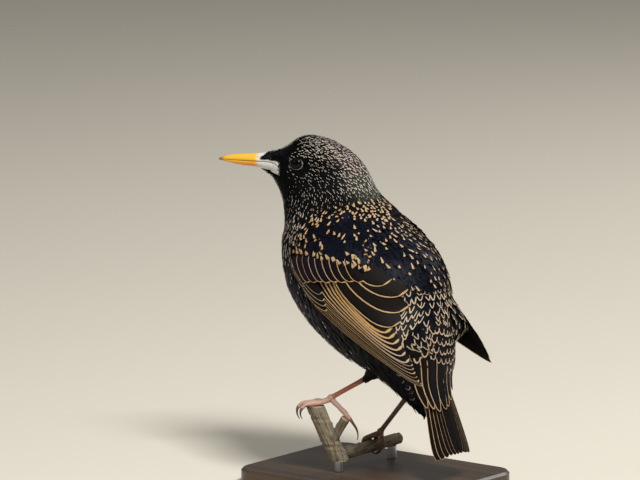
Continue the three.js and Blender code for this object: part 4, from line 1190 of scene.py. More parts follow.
def small_coverts(name, surface, facing):
    """Rows of small coverts from the roots of the great ones up to the shoulder, each a short vane laid down
    and back. The lowest row ends in broad buff tips; above it spots are sparse, but dense at the wing's
    bend."""
    grown = []
    for k in range(COVERT_ROWS):
        t = k / (COVERT_ROWS - 1)
        line = LOWEST_ROW + (HIGHEST_ROW - LOWEST_ROW) * t
        run = distance_along(line)
        n = int(run[-1] / (3.4 - 0.9 * t))
        tip = read_line((np.arange(n) + 0.5 + 0.45 * (k % 2)) / (n + 0.5) * run[-1], run, line)
        tip = tip + DRAW.uniform(-0.8, 0.8, (n, 2))
        front = smooth(-2, -7, tip[:, 0])
        column = np.exp(-((tip[:, 0] - 5.0) / 1.6) ** 2)
        length = np.full(n, 9.5 - 3.5 * t) * DRAW.uniform(0.92, 1.08, n)
        chance = 1.0 if k == 0 else 0.04 + 0.25 * smooth(16, 22, tip[:, 0]) + 0.7 * column
        spot = (scatter(np.full(n, chance) + 0.85 * front, 0.75, 1.0)
                * (1.2 if k == 0 else (1 - 0.25 * t) * (1 - 0.15 * front)))
        warm = np.clip(0.95 - 0.3 * front * t + DRAW.uniform(-0.15, 0.1, n), 0, 1)
        grown.append((tip, length, np.full(n, 2.6 - 0.9 * t), spot, warm))
    tip, length, half, spot, warm = (np.concatenate(part) for part in zip(*grown))
    n = len(tip)
    lie = unit(stacked(0.35 + 0.012 * (tip[:, 0] + 18) + DRAW.uniform(-0.1, 0.1, n), -np.ones(n)))
    side = stacked(-lie[:, 1], lie[:, 0])
    w = SMALL_WIDTHS[None] * half[:, None]
    to_tip = length[:, None] - SMALL_ROWS[None] * length[:, None]
    offset = w[:, :, None] * THREE
    flat = (tip[:, None, None] - lie[:, None, None] * to_tip[:, :, None, None]
            + side[:, None, None] * offset[..., None])
    level = (2.3 + 0.9 * (SMALL_ROWS[None, :, None] - 1) + 0.16 * w[:, :, None] * (1 - np.abs(THREE))
             + DRAW.uniform(-0.1, 0.2, n)[:, None, None])
    top = surface(flat[..., 0], flat[..., 1], level)
    mark = finish_marks(spot, np.zeros(n), warm)
    # The blue of this tint stands for the small coverts' iridescent gloss: painted sheen.
    tint = np.array([0.0045, 0.0055, 0.013]) * DRAW.uniform(0.6, 1.4, (n, 1))
    root = stacked((tip[:, 0] + 30) / 110, (tip[:, 1] + 70) / 110)
    piece = feather_mesh(f"wing_{name}_small_coverts", top, facing(top[:, 3, 1]), 0.12 * half[:, None, None],
                         body_plumage, w, THREE, to_tip, mark, tint, root_patch(root))


BED_LOW = np.array([[-20, 6], [-20, -3], [-16.5, -8.5], [-8, -12.5], [5, -21], [18, -30], [28, -36]])
BED_HIGH = np.array([[-14, 14], [-3, 17.5], [10, 16], [24, 8], [33, -5], [37, -16], [38, -26]])


def wing_bed(name):
    """The folded wing's flesh under its feathers: a thin lens between the trunk and the coverts."""
    t, k = np.linspace(0, 1, 24), np.linspace(0, 1, 16)
    low, high = (read_line(t, np.linspace(0, 1, len(line)), line) for line in (BED_LOW, BED_HIGH))
    flat = low[:, None] + (high - low)[:, None] * k[None, :, None]
    x, z = flat[..., 0], flat[..., 1]
    edge = (np.abs(2 * k - 1)[None] ** 3) * np.ones((len(t), 1))
    end = smooth(0.0, 0.12, t)[:, None] * smooth(1.0, 0.85, t)[:, None]
    top = wing_point(name, x, z, -0.5 - 1.0 * edge - (1 - end) * 1.0 + border_dip(x, z) * 0.6)
    under = wing_point(name, x, z, np.full_like(edge, -2.7) + 0.4 * edge)
    mesh = tubes_mesh(f"wing_{name}_bed", [np.concatenate([top, under[:, ::-1]], axis=1)],
                      [[0.012, 0.012, 0.014, 1]])
    new_object(f"wing_{name}_bed", mesh, skin_finish)


# The tail's tiers lie by distance down it and out to a side: one half of the fan and then the other, the long
# upper coverts with the rows over the rump above them, and the under ones.
TAIL_TIERS = [
    dict(count=6, roots=[(1.5, 6.6 * side), (1.5, 0.6 * side)],
         tips=[(43.2, 13.6 * side), (42.4, 1.2 * side)], half=[3.2, 3.4], bow=[0],
         height=[-1.6, 0.1 * side], tilt=-0.12 * side, edge=edge, warm=[0.8], tint=[DARK_BROWN], sink=0.2)
    for side, edge in ((1, [0.09]), (-1, [0.22, 0.1]))
]

RUMP_LINE = [(-3, -15), (3, -7.3), (6, 1), (7, 8), (4, 14.3)]
TAIL_COVERTS = [
    dict(count=7, roots=[(-24, -17), (-22, -8), (-20, 2), (-22, 12)],
         tips=[(16.5, -13.5), (20, -6.5), (18, 0.5), (11, 9.5)],
         half=[2.7, 3.5, 2.9], bow=[0], height=[0.9, 1.4, 1.2, 0.8], tilt=0.0, settle=0.3, pointed=0.85,
         stray=0.8, edge=[0.42, 0.36], warm=[0.8, 0.65], tint=[BLUE_BLACK], sink=3.0, buried=0.4),
] + [
    dict(count=8 + k, roots=[(down - 17.5 + ahead, side) for ahead, side in RUMP_LINE],
         tips=[(down - 7 + ahead, side) for ahead, side in RUMP_LINE],
         half=[2.2, 2.5, 2.2], bow=[0], height=[0.7 + 0.13 * k, 1.1 + 0.15 * k, 0.7 + 0.13 * k], tilt=0.0,
         pointed=1, stray=0.8, edge=[0.62, 0.56], reach=[3.3, 3.1], warm=[0.5, 0.4], tint=[BLUE_BLACK],
         sink=2.6 + 0.35 * k, buried=0.5 + 0.08 * k)
    for k, down in enumerate([1, -4, -9, -14, -19])
]
UNDER_COVERTS = [
    dict(count=6, roots=[(6, -7), (6, 7)], tips=[(24, -8), (26, 0), (24, 8)], half=[3.2, 3.4, 3.2], bow=[0],
         height=[-4.2, -4.4, -4.2], tilt=0.0, settle=-0.8, edge=[0.4], warm=[0.2], tint=[BLUE_BLACK],
         sink=0.0),
]


def over_rump(down, side, level):
    """The tail's upper coverts: the tail's face, eased outward to the rump's surface where that lies behind
    it."""
    p = tail_point(down, side, level)
    u = section_at(np.clip(p[..., 2], -79, 50))
    back, widest, half = (along(SECTIONS[:, k], u) for k in (2, 3, 4))
    c = np.sqrt(np.clip(1 - (p[..., 1] / np.maximum(half, 0.1)) ** 2, 0, 1))
    behind = widest + (back - widest) * c + 0.5 + 0.45 * level
    x = 0.5 * (p[..., 0] + behind + np.hypot(p[..., 0] - behind, 1.5))
    return stacked(np.where(p[..., 2] > -79, x, p[..., 0]), p[..., 1], p[..., 2])


def tail_pieces():
    """The tail's fan with its middle pair on top, and the coverts over and under its root."""
    behind = lambda p: np.broadcast_to([1.0, 0.0, 0.3], p.shape)
    before = lambda p: np.broadcast_to([-1.0, 0.0, -0.3], p.shape)
    fan = long_feathers("tail_fan", tail_point, TAIL_TIERS, tail_plumage, behind)
    over = long_feathers("tail_coverts", over_rump, TAIL_COVERTS, tail_plumage, behind)
    under = long_feathers("under_tail_coverts", tail_point, UNDER_COVERTS, tail_plumage, before)
    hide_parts("tail")


skin_finish = skin_material()


# Eyes, bill, legs, perch

def eye_ball(name, middle, axis, radius, finish, rows=40, ring=56):
    """A ball: rings about an axis, with the angle from the axis as a UV for iris and pupil."""
    first, second = two_across(axis, [0, 0, 1.0])
    polar = np.linspace(0.02, math.pi - 0.02, rows)[:, None, None]
    turn = circle(ring)[None, :, None]
    out = first * np.cos(turn) + second * np.sin(turn)
    mesh = tubes_mesh(name, [middle + radius * (axis * np.cos(polar) + np.sin(polar) * out)])
    add_uv(mesh, "ball", stacked(polar[..., 0] / math.pi, turn[..., 0] / (2 * math.pi)))
    return new_object(name, mesh, finish)


def eye_material():
    """A dark eye: black pupil, dark brown iris with fine rays, under a clear wet coat."""
    made, t = material("eye_finish", 0.08, Specular_IOR_Level=0.06, Coat_Weight=0.12, Coat_Roughness=0.02)
    out = t.split(t.uv("ball"))[0]
    rays = t.streaks(t.uv("ball"), (4.0, 90.0, 1.0), 2.0)
    iris = t.mix(rays, PAINT["iris_dark"], PAINT["iris_ray"])
    t.cover(t.mix(t.step(out, 0.15, 0.17), PAINT["pupil"], iris))
    return made


def lid_material():
    """The bare ring of lids: near-black skin, with a dull, thin, broken pale rim below, in front and
    behind."""
    made, t = material("lid_skin", 0.7, Specular_IOR_Level=0.08)
    where = t.uv("ring")
    round_, out, _ = t.split(where)
    breaks = t.streaks(where, (20.0, 1.0, 1.0), 2.0)
    outer = t.times(t.step(out, 0.5, 0.74), t.step(out, 1.0, 0.94))
    low = t.step(t.math("PINGPONG", t.plus(round_, 0.21), 0.5), 0.38, 0.22)
    pale = t.times(outer, t.step(breaks, 0.3, 0.56), low)
    t.cover(t.mix(pale, PAINT["near_black"], PAINT["lid_rim"]), t.noise(where, 60.0), 0.3)
    return made


def lids(name, side, finish):
    """A ring of lids: a flat torus round the eye's opening, wider than tall, its tube leaning out from the
    ball's surface to the plumage."""
    _, gaze, middle = eye_place(side)
    first, second = two_across(gaze, [0, 0, -1.0])
    rows, ring = 72, 14
    turn = (np.arange(rows + 1) / rows * 2 * math.pi)[:, None, None]
    tube = circle(ring)[None, :, None]
    wide = EYE["ring"] + 0.62 * np.cos(tube)
    out = math.sqrt(EYE["radius"] ** 2 - EYE["opening"] ** 2)
    points = (middle + gaze * (out + 0.1 + 0.2 * np.sin(tube) - 0.42 * (wide - EYE["ring"]))
              + first * np.cos(turn) * wide + second * np.sin(turn) * wide * 0.84)
    points = points.reshape(-1, 3)
    quads, _ = tube_faces(rows + 1, ring)
    quads, _ = outward(points, quads, quads)
    mesh = raw_mesh(name, points, quads)
    add_uv(mesh, "ring", stacked(turn[..., 0] / (2 * math.pi),
                                                      0.5 + 0.5 * np.cos(tube[..., 0])))
    return new_object(name, mesh, finish)


def bill_half(name, upper, finish):
    """One half of the bill: at each distance a flat floor on the mouth line and an arch to the ridge or the
    underside, wide at the cutting edge, with a shallow nostril pressed into each side of the upper half.
    Where its root is bare the sides come out flush with the head, back to the gape."""
    rows, arch = 66, 30
    u = np.linspace(0.2, len(BILL_SECTIONS) - 1, rows)
    ahead, ridge, mouth, floor, half = (along(BILL_SECTIONS[:, k], u)[:, None] for k in range(5))
    angle = (np.arange(arch + 1) / arch * math.pi)[None]
    rise = (ridge - mouth) if upper else (floor - mouth)
    left = np.cos(angle) * half * (1.0 if upper else 0.95)
    height = mouth + (0.12 if upper else -0.12) + rise * np.abs(np.sin(angle)) ** 0.82
    if upper:
        off = [(ahead - NOSTRIL["ahead"]) / NOSTRIL["long"], (height - NOSTRIL["height"]) / NOSTRIL["tall"]]
        left = left * (1 - NOSTRIL["depth"] * np.exp(-(off[0] ** 2 + off[1] ** 2)))
    ahead = ahead * np.ones_like(angle)
    flush = head_half_width(ahead, height) - BARE["under"]
    shown = (smooth(29.6, 28.0, ahead) * smooth(1.0, 0.2, height - bare_top(ahead))
             * smooth(-1.4, -0.2, height - bare_floor(ahead)))
    left = np.sign(left) * np.maximum(np.abs(left), flush * shown)
    mesh = tubes_mesh(name, [head_point(ahead, left, height)])
    add_uv(mesh, "bill", stacked(ahead / 60, (height - 40) / 10))
    return new_object(name, mesh, finish)


def bill_material(name, orange):
    """Horn: yellow, with the pale blue-grey base of spring behind a soft border, painted shade low down as a
    darker orange, and a brown tip."""
    made, t = material(name, 0.34, Coat_Weight=0.15, Subsurface_Weight=0.08,
                       Subsurface_Radius=(0.002, 0.001, 0.0005))
    where = t.uv("bill")
    ahead, up, _ = t.split(where)
    ahead = t.plus(ahead, t.times(t.minus(t.streaks(where, (30.0, 60.0, 1.0), 2.0), 0.5), 0.03))
    fine = t.streaks(where, (8.0, 160.0, 1.0))
    # Painted shade: lower down the yellow goes to a darker orange, graded over the whole lower half and near
    # the cutting edge of the upper one.
    low = t.step(up, 0.55, 0.05) if orange else t.step(up, 0.52, 0.36)
    yellow = t.mix(low, PAINT["bill_yellow"], PAINT["bill_shade_orange"])
    yellow = t.mix(t.times(fine, 0.3), yellow, PAINT["bill_streak"])
    base = t.mix(fine, PAINT["bill_base"], PAINT["bill_base_grey"])
    colour = t.mix(t.step(ahead, 0.566, 0.616), base, yellow)
    t.cover(t.mix(t.step(ahead, 0.865, 0.935), colour, PAINT["bill_tip"]), fine, 0.15)
    return made


def path_curve(points, count):
    """A smooth cubic through a few points, as count points."""
    points = np.array(points, float)
    u = np.linspace(0, len(points) - 1, count)
    return np.stack([along(points[:, k], u) for k in range(3)], axis=-1)


def limb(points, radii, ring, count, lumps=None):
    """Rings round a smooth path: each ring lies across the path, with a radius from the table, and lumps add
    to it by a function of distance along the path and angle around it. Its UV is that angle and distance."""
    path = path_curve(points, count)
    radius = along(np.array(radii, float), np.linspace(0, len(radii) - 1, count))
    way = unit(np.gradient(path, axis=0))
    side = np.where(np.abs(way[:, 1:2]) < 0.8, [[0.0, 1.0, 0.0]], [[1.0, 0.0, 0.0]])
    across = unit(np.cross(side, way))
    over = np.cross(way, across)
    run = distance_along(path)[:, None]
    turn = circle(ring)[None]
    size = radius[:, None] * np.ones_like(turn)
    if lumps is not None:
        size = size + lumps(run, turn)
    rings = (path[:, None] + across[:, None] * (np.cos(turn) * size)[..., None]
             + over[:, None] * (np.sin(turn) * size)[..., None])
    return rings, stacked(turn / (2 * math.pi), run)


def joined(name, parts, finish, colours=None):
    """One piece from several tubes of rings, each with its own UV and colour."""
    mesh = tubes_mesh(name, [tube for tube, _ in parts], colours)
    add_uv(mesh, "skin", np.concatenate([uv.reshape(-1, 2) for _, uv in parts]))
    return new_object(name, mesh, finish)


def leg_material():
    """Scaly skin: broad scutes across the front, fine scales behind, on the piece's own tint, paler
    between."""
    made, t = material("leg_skin", 0.48, Subsurface_Weight=0.06, Specular_IOR_Level=0.35,
                       Subsurface_Radius=(0.002, 0.0008, 0.0005))
    down = t.split(t.uv("skin"))[1]
    bend = t.times(t.noise(t.uv("skin"), 3.0), 0.2)
    groove = t.step(t.math("PINGPONG", t.plus(t.times(down, 0.55), bend), 0.5), 0.08, 0.0)
    pebble = t.step(t.cells(t.object_place(), 1500.0, feature="DISTANCE_TO_EDGE"), 0.0, 0.16)
    tone = t.noise(t.object_place(), 500.0)
    colour = t.mix(t.times(tone, 0.4), t.attribute("tint")["Color"], PAINT["scale_tan"])
    colour = t.mix(t.times(groove, 0.45), colour, PAINT["scute_edge"])
    colour = t.mix(t.times(t.minus(1.0, pebble), 0.14), colour, PAINT["scale_gap"])
    t.cover(colour, t.minus(pebble, t.times(groove, 1.5)), 0.3, 0.00015)
    return made


def claw_material():
    """Dark horn with fine lines along the claw, paler at its root."""
    made, t = material("claw_horn", 0.3, Coat_Weight=0.2)
    lines = t.streaks(t.uv("skin"), (14.0, 0.4, 1.0))
    dark = t.mix(lines, PAINT["claw_dark"], PAINT["claw_line"])
    down = t.split(t.uv("skin"))[1]
    t.cover(t.mix(t.step(down, 2.5, 0.0), dark, PAINT["claw_root"]), lines, 0.2)
    return made


LEGS = {
    "left": dict(hip=(27, -10, -52), ankle=(17, -13.1, -62.5), foot=(-1.7, -20.3, -74.5)),
    "right": dict(hip=(28, 11, -50), ankle=(24, 12, -75), foot=(5, 13, -97)),
}
# The legs' colours. The near-black one is painted shade: all of the right leg, which is in shade, and the top
# of the left one, in the body's cast shadow. The red is the skin's own colour, and the pale pink is the
# skin's own pink painted paler as in sunlight.
SCALE_SHADED = np.array([0.045, 0.022, 0.016, 1])
SCALE_RED = np.array([0.42, 0.12, 0.06, 1])
SCALE_SUNLIT_PINK = np.array([0.56, 0.36, 0.28, 1])
TARSUS_RADII = [1.9, 1.35, 1.2, 1.25, 1.6]
TOE_RADII = [1.5, 1.25, 1.35, 1.1, 1.15, 0.9]
# Each toe's path from the foot to its tip, and its claw's on from there.
TOES = {
    "left": {
        "inner": ([(-1.8, -20.7, -75.1), (-5, -23.8, -76.6), (-8, -27, -77), (-10.4, -29.4, -77.6),
                   (-11.6, -30.8, -79.2)],
                  [(-12, -31.4, -80.4), (-11.9, -31.9, -82.6), (-10.8, -31.7, -84.8)]),
        "middle": ([(-2.3, -20.3, -75.3), (-6.5, -22.4, -76.7), (-10.5, -24.6, -77), (-14.2, -26.6, -77.6),
                    (-16.4, -27.6, -79.4)], [(-17, -28, -80.8), (-16.9, -28.2, -83.4), (-15.6, -27.8, -86)]),
        "outer": ([(-1.9, -19.9, -75), (-6.2, -19.6, -76.7), (-10, -19.6, -77), (-13, -19.8, -77.8),
                   (-14.6, -20, -79.4)], [(-15.1, -20.1, -80.6), (-15, -20.2, -82.8), (-13.8, -20.2, -85)]),
        "hind": ([(-0.6, -19.8, -75.4), (3, -19.4, -78.2), (6.8, -19, -81.2), (10.2, -18.6, -84.4)],
                 [(11.4, -18.5, -85.8), (13.8, -18.3, -88.8), (14.8, -18.2, -92), (14.2, -18.1, -94.8)]),
    },
    "right": {
        "inner": ([(4.9, 12.3, -97.4), (1.4, 10.4, -98.9), (-1.6, 9, -100.8), (-2.5, 8.2, -103.4)],
                  [(-2.4, 8, -104.7), (-1.2, 7.8, -106.4), (0.6, 7.7, -107.2)]),
        "middle": ([(4.5, 13.1, -97.7), (1.5, 13.4, -98.8), (-1.8, 13.8, -100.4), (-2.9, 14, -103.2),
                    (-2.3, 14.2, -105.8)], [(-1.7, 14.2, -107.1), (0, 14.2, -108.7), (2, 14.2, -109.2)]),
        "outer": ([(5.1, 13.5, -97.5), (1.6, 16.2, -98.9), (-1.4, 18.2, -100.6), (-2.5, 19.4, -103.2)],
                  [(-2.4, 19.7, -104.5), (-1.2, 19.9, -106.2), (0.6, 20, -107)]),
        "hind": ([(5.5, 12.9, -97.9), (7.2, 12.4, -100), (7.6, 11.8, -103), (6.6, 11.4, -105.6)],
                 [(5.8, 11.3, -106.8), (4, 11.2, -108), (2, 11.2, -108.2)]),
    },
}


def toward(a, b, t):
    """The point a share t of the way from a to b."""
    return tuple(np.array(a, float) + (np.array(b, float) - np.array(a, float)) * t)


def scutes(run, turn):
    """Low overlapping rings along a leg: a saw of distance, strongest in front."""
    return 0.07 * (1 - (run * 0.55 % 1)) * (0.6 + 0.4 * np.cos(turn))


def toe_pads(run, turn):
    """Pads under the toe's joints: a wave of distance on the lower half."""
    return 0.16 * np.cos(run * 1.35) * np.maximum(np.sin(turn), -0.3) + 0.05 * (1 - (run * 0.8 % 1))


def legs():
    """The bare legs and feet with their claws, and the feathered thighs. The left leg turns from dark to red
    and pink down its length: its dark top is the body's cast shadow, painted, and its pale pink foot end is
    its own pink painted paler as in sunlight. The right one is in shade and is painted dark all over, toes
    too."""
    scales, horn = leg_material(), claw_material()
    for name, leg in LEGS.items():
        hip, ankle, foot = leg["hip"], leg["ankle"], leg["foot"]
        down = lambda *shares: [toward(ankle, foot, t) for t in shares]
        rows = 60
        share = np.linspace(0, 1, rows)[:, None, None]
        if name == "left":
            # Painted light: dark at the top as the body's cast shadow, red below it, and a paler pink to the
            # foot and toes as in sunlight.
            red, pink = smooth(0.18, 0.42, share), smooth(0.7, 1, share) * 0.5
            tint = SCALE_SHADED * (1 - red) + SCALE_RED * red
            tint = tint * (1 - pink) + SCALE_SUNLIT_PINK * pink
            toe_tint = SCALE_SUNLIT_PINK
        else:
            # Painted shade: the right leg and its toes are dark because they lie in shade.
            tint = SCALE_SHADED
            toe_tint = SCALE_SHADED * 1.3 + SCALE_SUNLIT_PINK * 0.1
        shank = limb(down(-0.12, 0.14, 0.5, 0.86, 1), TARSUS_RADII, 24, rows, scutes)
        piece = joined(f"tarsus_{name}_scaled", [shank], scales, [tint])
        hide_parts(f"tarsus_{name}")
        tubes, claws = [limb(down(0.92, 0.98, 1.06), [1.35, 1.85, 1.2], 20, 14)], []
        for toe, claw in TOES[name].values():
            tubes.append(limb(toe, TOE_RADII[:len(toe) - 1] + [0.9], 16, 48, toe_pads))
            radii = [0.95 - 0.8 * k / len(claw) for k in range(len(claw) + 1)]
            claws.append(limb([toe[-1]] + claw, radii, 14, 26))
        feet = joined(f"foot_{name}_scaled", tubes, scales, [toe_tint] * len(tubes))
        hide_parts(f"foot_{name}")
        nails = joined(f"claws_{name}", claws, horn)
        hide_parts(*[f"claw_{name}_{digit}" for digit in TOES[name]])
        thigh_feathers(name, hip, ankle)


def thigh_feathers(name, hip, ankle):
    """The feathered thigh: rings of small dark vanes round the limb, laid towards the ankle."""
    hip, ankle = np.array(hip, float), np.array(ankle, float)
    reach = np.linalg.norm(ankle - hip)
    way = (ankle - hip) / reach
    first, second = two_across(way, [0, 1.0, 0])
    rings, per = 14, 26
    n = rings * per
    t = np.repeat(np.linspace(0.2, 0.98, rings), per) + DRAW.uniform(-0.03, 0.03, n)
    turn = (np.tile(np.arange(per), rings) + 0.5 * np.repeat(np.arange(rings) % 2, per)) / per * 2 * math.pi
    out = first * np.cos(turn)[:, None] + second * np.sin(turn)[:, None]
    length = np.interp(t, [0, 0.7, 1], [7, 4.5, 2.6]) * DRAW.uniform(0.85, 1.15, n)
    half = np.interp(t, [0, 0.7, 1], [1.3, 0.8, 0.5])
    s = SMALL_ROWS[None] * length[:, None]
    radius = np.interp(t[:, None] + s / reach, [0, 0.5, 0.85, 1, 1.15], [7, 5.4, 3.1, 2.0, 1.6])
    normals = np.broadcast_to(out[:, None], s.shape + (3,))
    points = hip + way * (t[:, None] * reach + s)[..., None] + normals * (radius - 0.3)[..., None]
    sides = np.broadcast_to(np.cross(way, out)[:, None], normals.shape)
    height = 0.45 * SMALL_ROWS[None] * DRAW.uniform(0.4, 1.4, (n, 1))
    root = stacked(0.02 + 0.96 * (turn / (2 * math.pi) % 1), 0.02 + 0.9 * t)
    tint = np.broadcast_to([0.007, 0.0065, 0.007], (n, 3))
    piece = small_feathers(f"thigh_{name}_plumage", points, normals, sides, length, half, height, 1 / radius,
                           plain_marks(n), tint, body_plumage, root)


# The perch: each stem's path, radii, points round it and along it, and its bark's seed and unevenness.
PERCH = [
    ([(-10.7, -26.2, -71.5), (-3.3, -20.7, -93), (2, -16.7, -108.5)], [4.25, 4.5, 4.9], 40, 90, 1.0, 0.28),
    ([(-2.6, -20.2, -100), (2.4, -19.6, -92.1), (7.4, -19, -84.2)], [2.9, 2.4, 2.4], 28, 50, 2.3, 0.16),
    ([(0, -18.3, -104.4), (2.2, 6, -103.9), (3.6, 31, -103.2)], [3.5, 3.1, 2.95], 32, 90, 4.1, 0.18),
]
STEM_CUT_TOP, STEM_CUT_BOTTOM = -78.5, -107
# The colour says what the bark's material shows: red is cut wood.
BARK, CUT_WOOD = np.array([0, 0, 0, 1.0]), np.array([1.0, 0, 0, 1])
STEM_CUT_TOP, STEM_CUT_BOTTOM = -78.5, -107


def bark_material():
    """Bark: grey-brown with long fissures, pale pores and a little grey lichen, and ringed wood on the
    cuts."""
    made, t = material("stem_bark", 0.85, Specular_IOR_Level=0.25)
    where = t.object_place()
    cut = t.split(t.attribute("tint")["Color"])[0]
    fissures = t.streaks(t.uv("skin"), (26.0, 0.10, 1.0), 6.0, 0.65)
    brown = t.mix(t.step(fissures, 0.36, 0.62), PAINT["bark_dark"], PAINT["bark_light"])
    lichen = t.step(t.noise(where, 90.0, 5.0, 0.65), 0.46, 0.70)
    brown = t.mix(t.times(lichen, 0.45), brown, PAINT["lichen"])
    pore = t.step(t.cells(t.stretched(t.uv("skin"), (9.0, 0.55, 1.0)), 1.0), 0.13, 0.07)
    brown = t.mix(t.times(pore, 0.6), brown, PAINT["bark_pore"])
    rings = t.fed("ShaderNodeTexWave", {"Vector": t.stretched(where, (1.0, 1.0, 0.0)), "Scale": 260.0,
                                        "Distortion": 1.5}, wave_type="RINGS", rings_direction="Z")
    wood = t.mix(rings.outputs["Fac"], PAINT["cut_wood"], PAINT["cut_ring"])
    t.cover(t.mix(cut, brown, wood), t.plus(fissures, t.times(pore, 0.3)), 0.8, 0.0006)
    return made


def bark_lumps(seed, amount):
    """Uneven bark: a sum of slow waves along and round a stem, with knots where they meet."""
    def lumps(run, turn):
        """Five sine waves round the stem times cosine waves along it, added and scaled."""
        waves = (np.sin(turn * (k + 1) + seed * (k + 2) + run * (0.25 + 0.19 * k))
                 * np.cos(run * (0.5 + 0.23 * k) + seed + k) for k in range(5))
        return amount * sum(waves) / 2.2
    return lumps


def perch():
    """The cut stem, its stub and its side branch: uneven tubes. The stem's ends are cut flat by moving what
    lies beyond each cut onto it, and the others' by a low disc."""
    parts = [limb(path, radii, ring, count, bark_lumps(seed, amount))
             for path, radii, ring, count, seed, amount in PERCH]
    (stem, _), *others = parts
    beyond = (stem[..., 2] > STEM_CUT_TOP) | (stem[..., 2] < STEM_CUT_BOTTOM)
    stem[..., 2] = np.clip(stem[..., 2], STEM_CUT_BOTTOM, STEM_CUT_TOP)
    colours = [np.where(beyond[..., None], CUT_WOOD, BARK), BARK, BARK]
    for tube, _ in others:
        end = tube[-1]
        middle = end.mean(axis=0)
        out = unit(middle - tube[-4].mean(axis=0))
        disc = np.stack([middle + (end - middle) * size + out * lift
                         for size, lift in ((1.0, 0.0), (0.85, 0.12), (0.5, 0.15), (0.15, 0.16))])
        parts.append((disc, np.zeros(disc.shape[:2] + (2,))))
        colours.append(CUT_WOOD)
    piece = joined("perch_stem", parts, bark_material(), colours)
    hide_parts("perch")


def stand_materials():
    """Satin dark wood for the base and brushed steel for the rods, on the CAD nodes."""
    wood, t = material("stand_wood", 0.38, Coat_Weight=0.25, Coat_Roughness=0.2)
    where = t.object_place()
    grain = t.streaks(where, (6.0, 160.0, 60.0), 6.0, 0.65)
    fine = t.streaks(where, (40.0, 1400.0, 400.0))
    colour = t.mix(t.step(grain, 0.35, 0.65), PAINT["base_wood"], PAINT["base_grain"])
    t.cover(t.mix(t.times(fine, 0.3), colour, PAINT["base_line"]), fine, 0.12, COARSE,
            Roughness=t.plus(0.30, t.times(fine, 0.2)))
    steel, t = material("rod_steel", 0.3, Metallic=1.0)
    lines = t.streaks(t.object_place(), (60.0, 60.0, 4000.0))
    t.cover(t.mix(lines, PAINT["steel"], PAINT["steel_line"]),
            Roughness=t.plus(0.22, t.times(lines, 0.2)))
    for node, finish in (("stand_base", wood), ("stand_rod_front", steel), ("stand_rod_back", steel)):
        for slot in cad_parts[node].material_slots:
            slot.material = finish


def skin():
    """The one skin of head, neck and trunk, with the thighs, in place of the CAD nodes of flesh."""
    trunk, tint = trunk_skin()
    tubes, tints = [trunk], [tint]
    for leg in LEGS.values():
        path = [toward(leg["hip"], leg["ankle"], t) for t in (0, 0.5, 0.85, 1.0)]
        tubes.append(limb(path, [6.4, 4.9, 2.8, 1.8], 96, 24)[0])
        tints.append([0.012, 0.011, 0.012, 1])
    piece = new_object("skin", tubes_mesh("skin", tubes, tints), skin_finish)
    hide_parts("head", "neck", "torso", "thigh_left", "thigh_right")


def eyes():
    """The eyes with their lids."""
    finish, lid = eye_material(), lid_material()
    for name, side in SIDES.items():
        _, gaze, middle = eye_place(side)
        ball = eye_ball(f"eye_{name}_ball", middle, gaze, EYE["radius"] - 0.02, finish)
        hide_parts(f"eye_{name}")
        ring = lids(f"eye_{name}_lids", side, lid)


def bill_lines(ahead):
    """The heights of the bill's ridge, mouth line and underside at a distance ahead, and its half width."""
    u = np.interp(ahead, BILL_SECTIONS[:, 0], np.arange(len(BILL_SECTIONS)))
    return [along(BILL_SECTIONS[:, k], u) for k in range(1, 5)]


def bill_point(upper, side, ahead, share):
    """A point on a side of one half of the bill, by a share of the rise from the mouth line: out by the half
    width times the root of 1 - share to the power 2.44."""
    ridge, mouth, floor, half = bill_lines(ahead)
    rise = (ridge - mouth) if upper else (floor - mouth)
    out = half * np.sqrt(np.maximum(1 - np.clip(share, 0, 1) ** 2.44, 0))
    return head_point(ahead, side * out, mouth + rise * share)


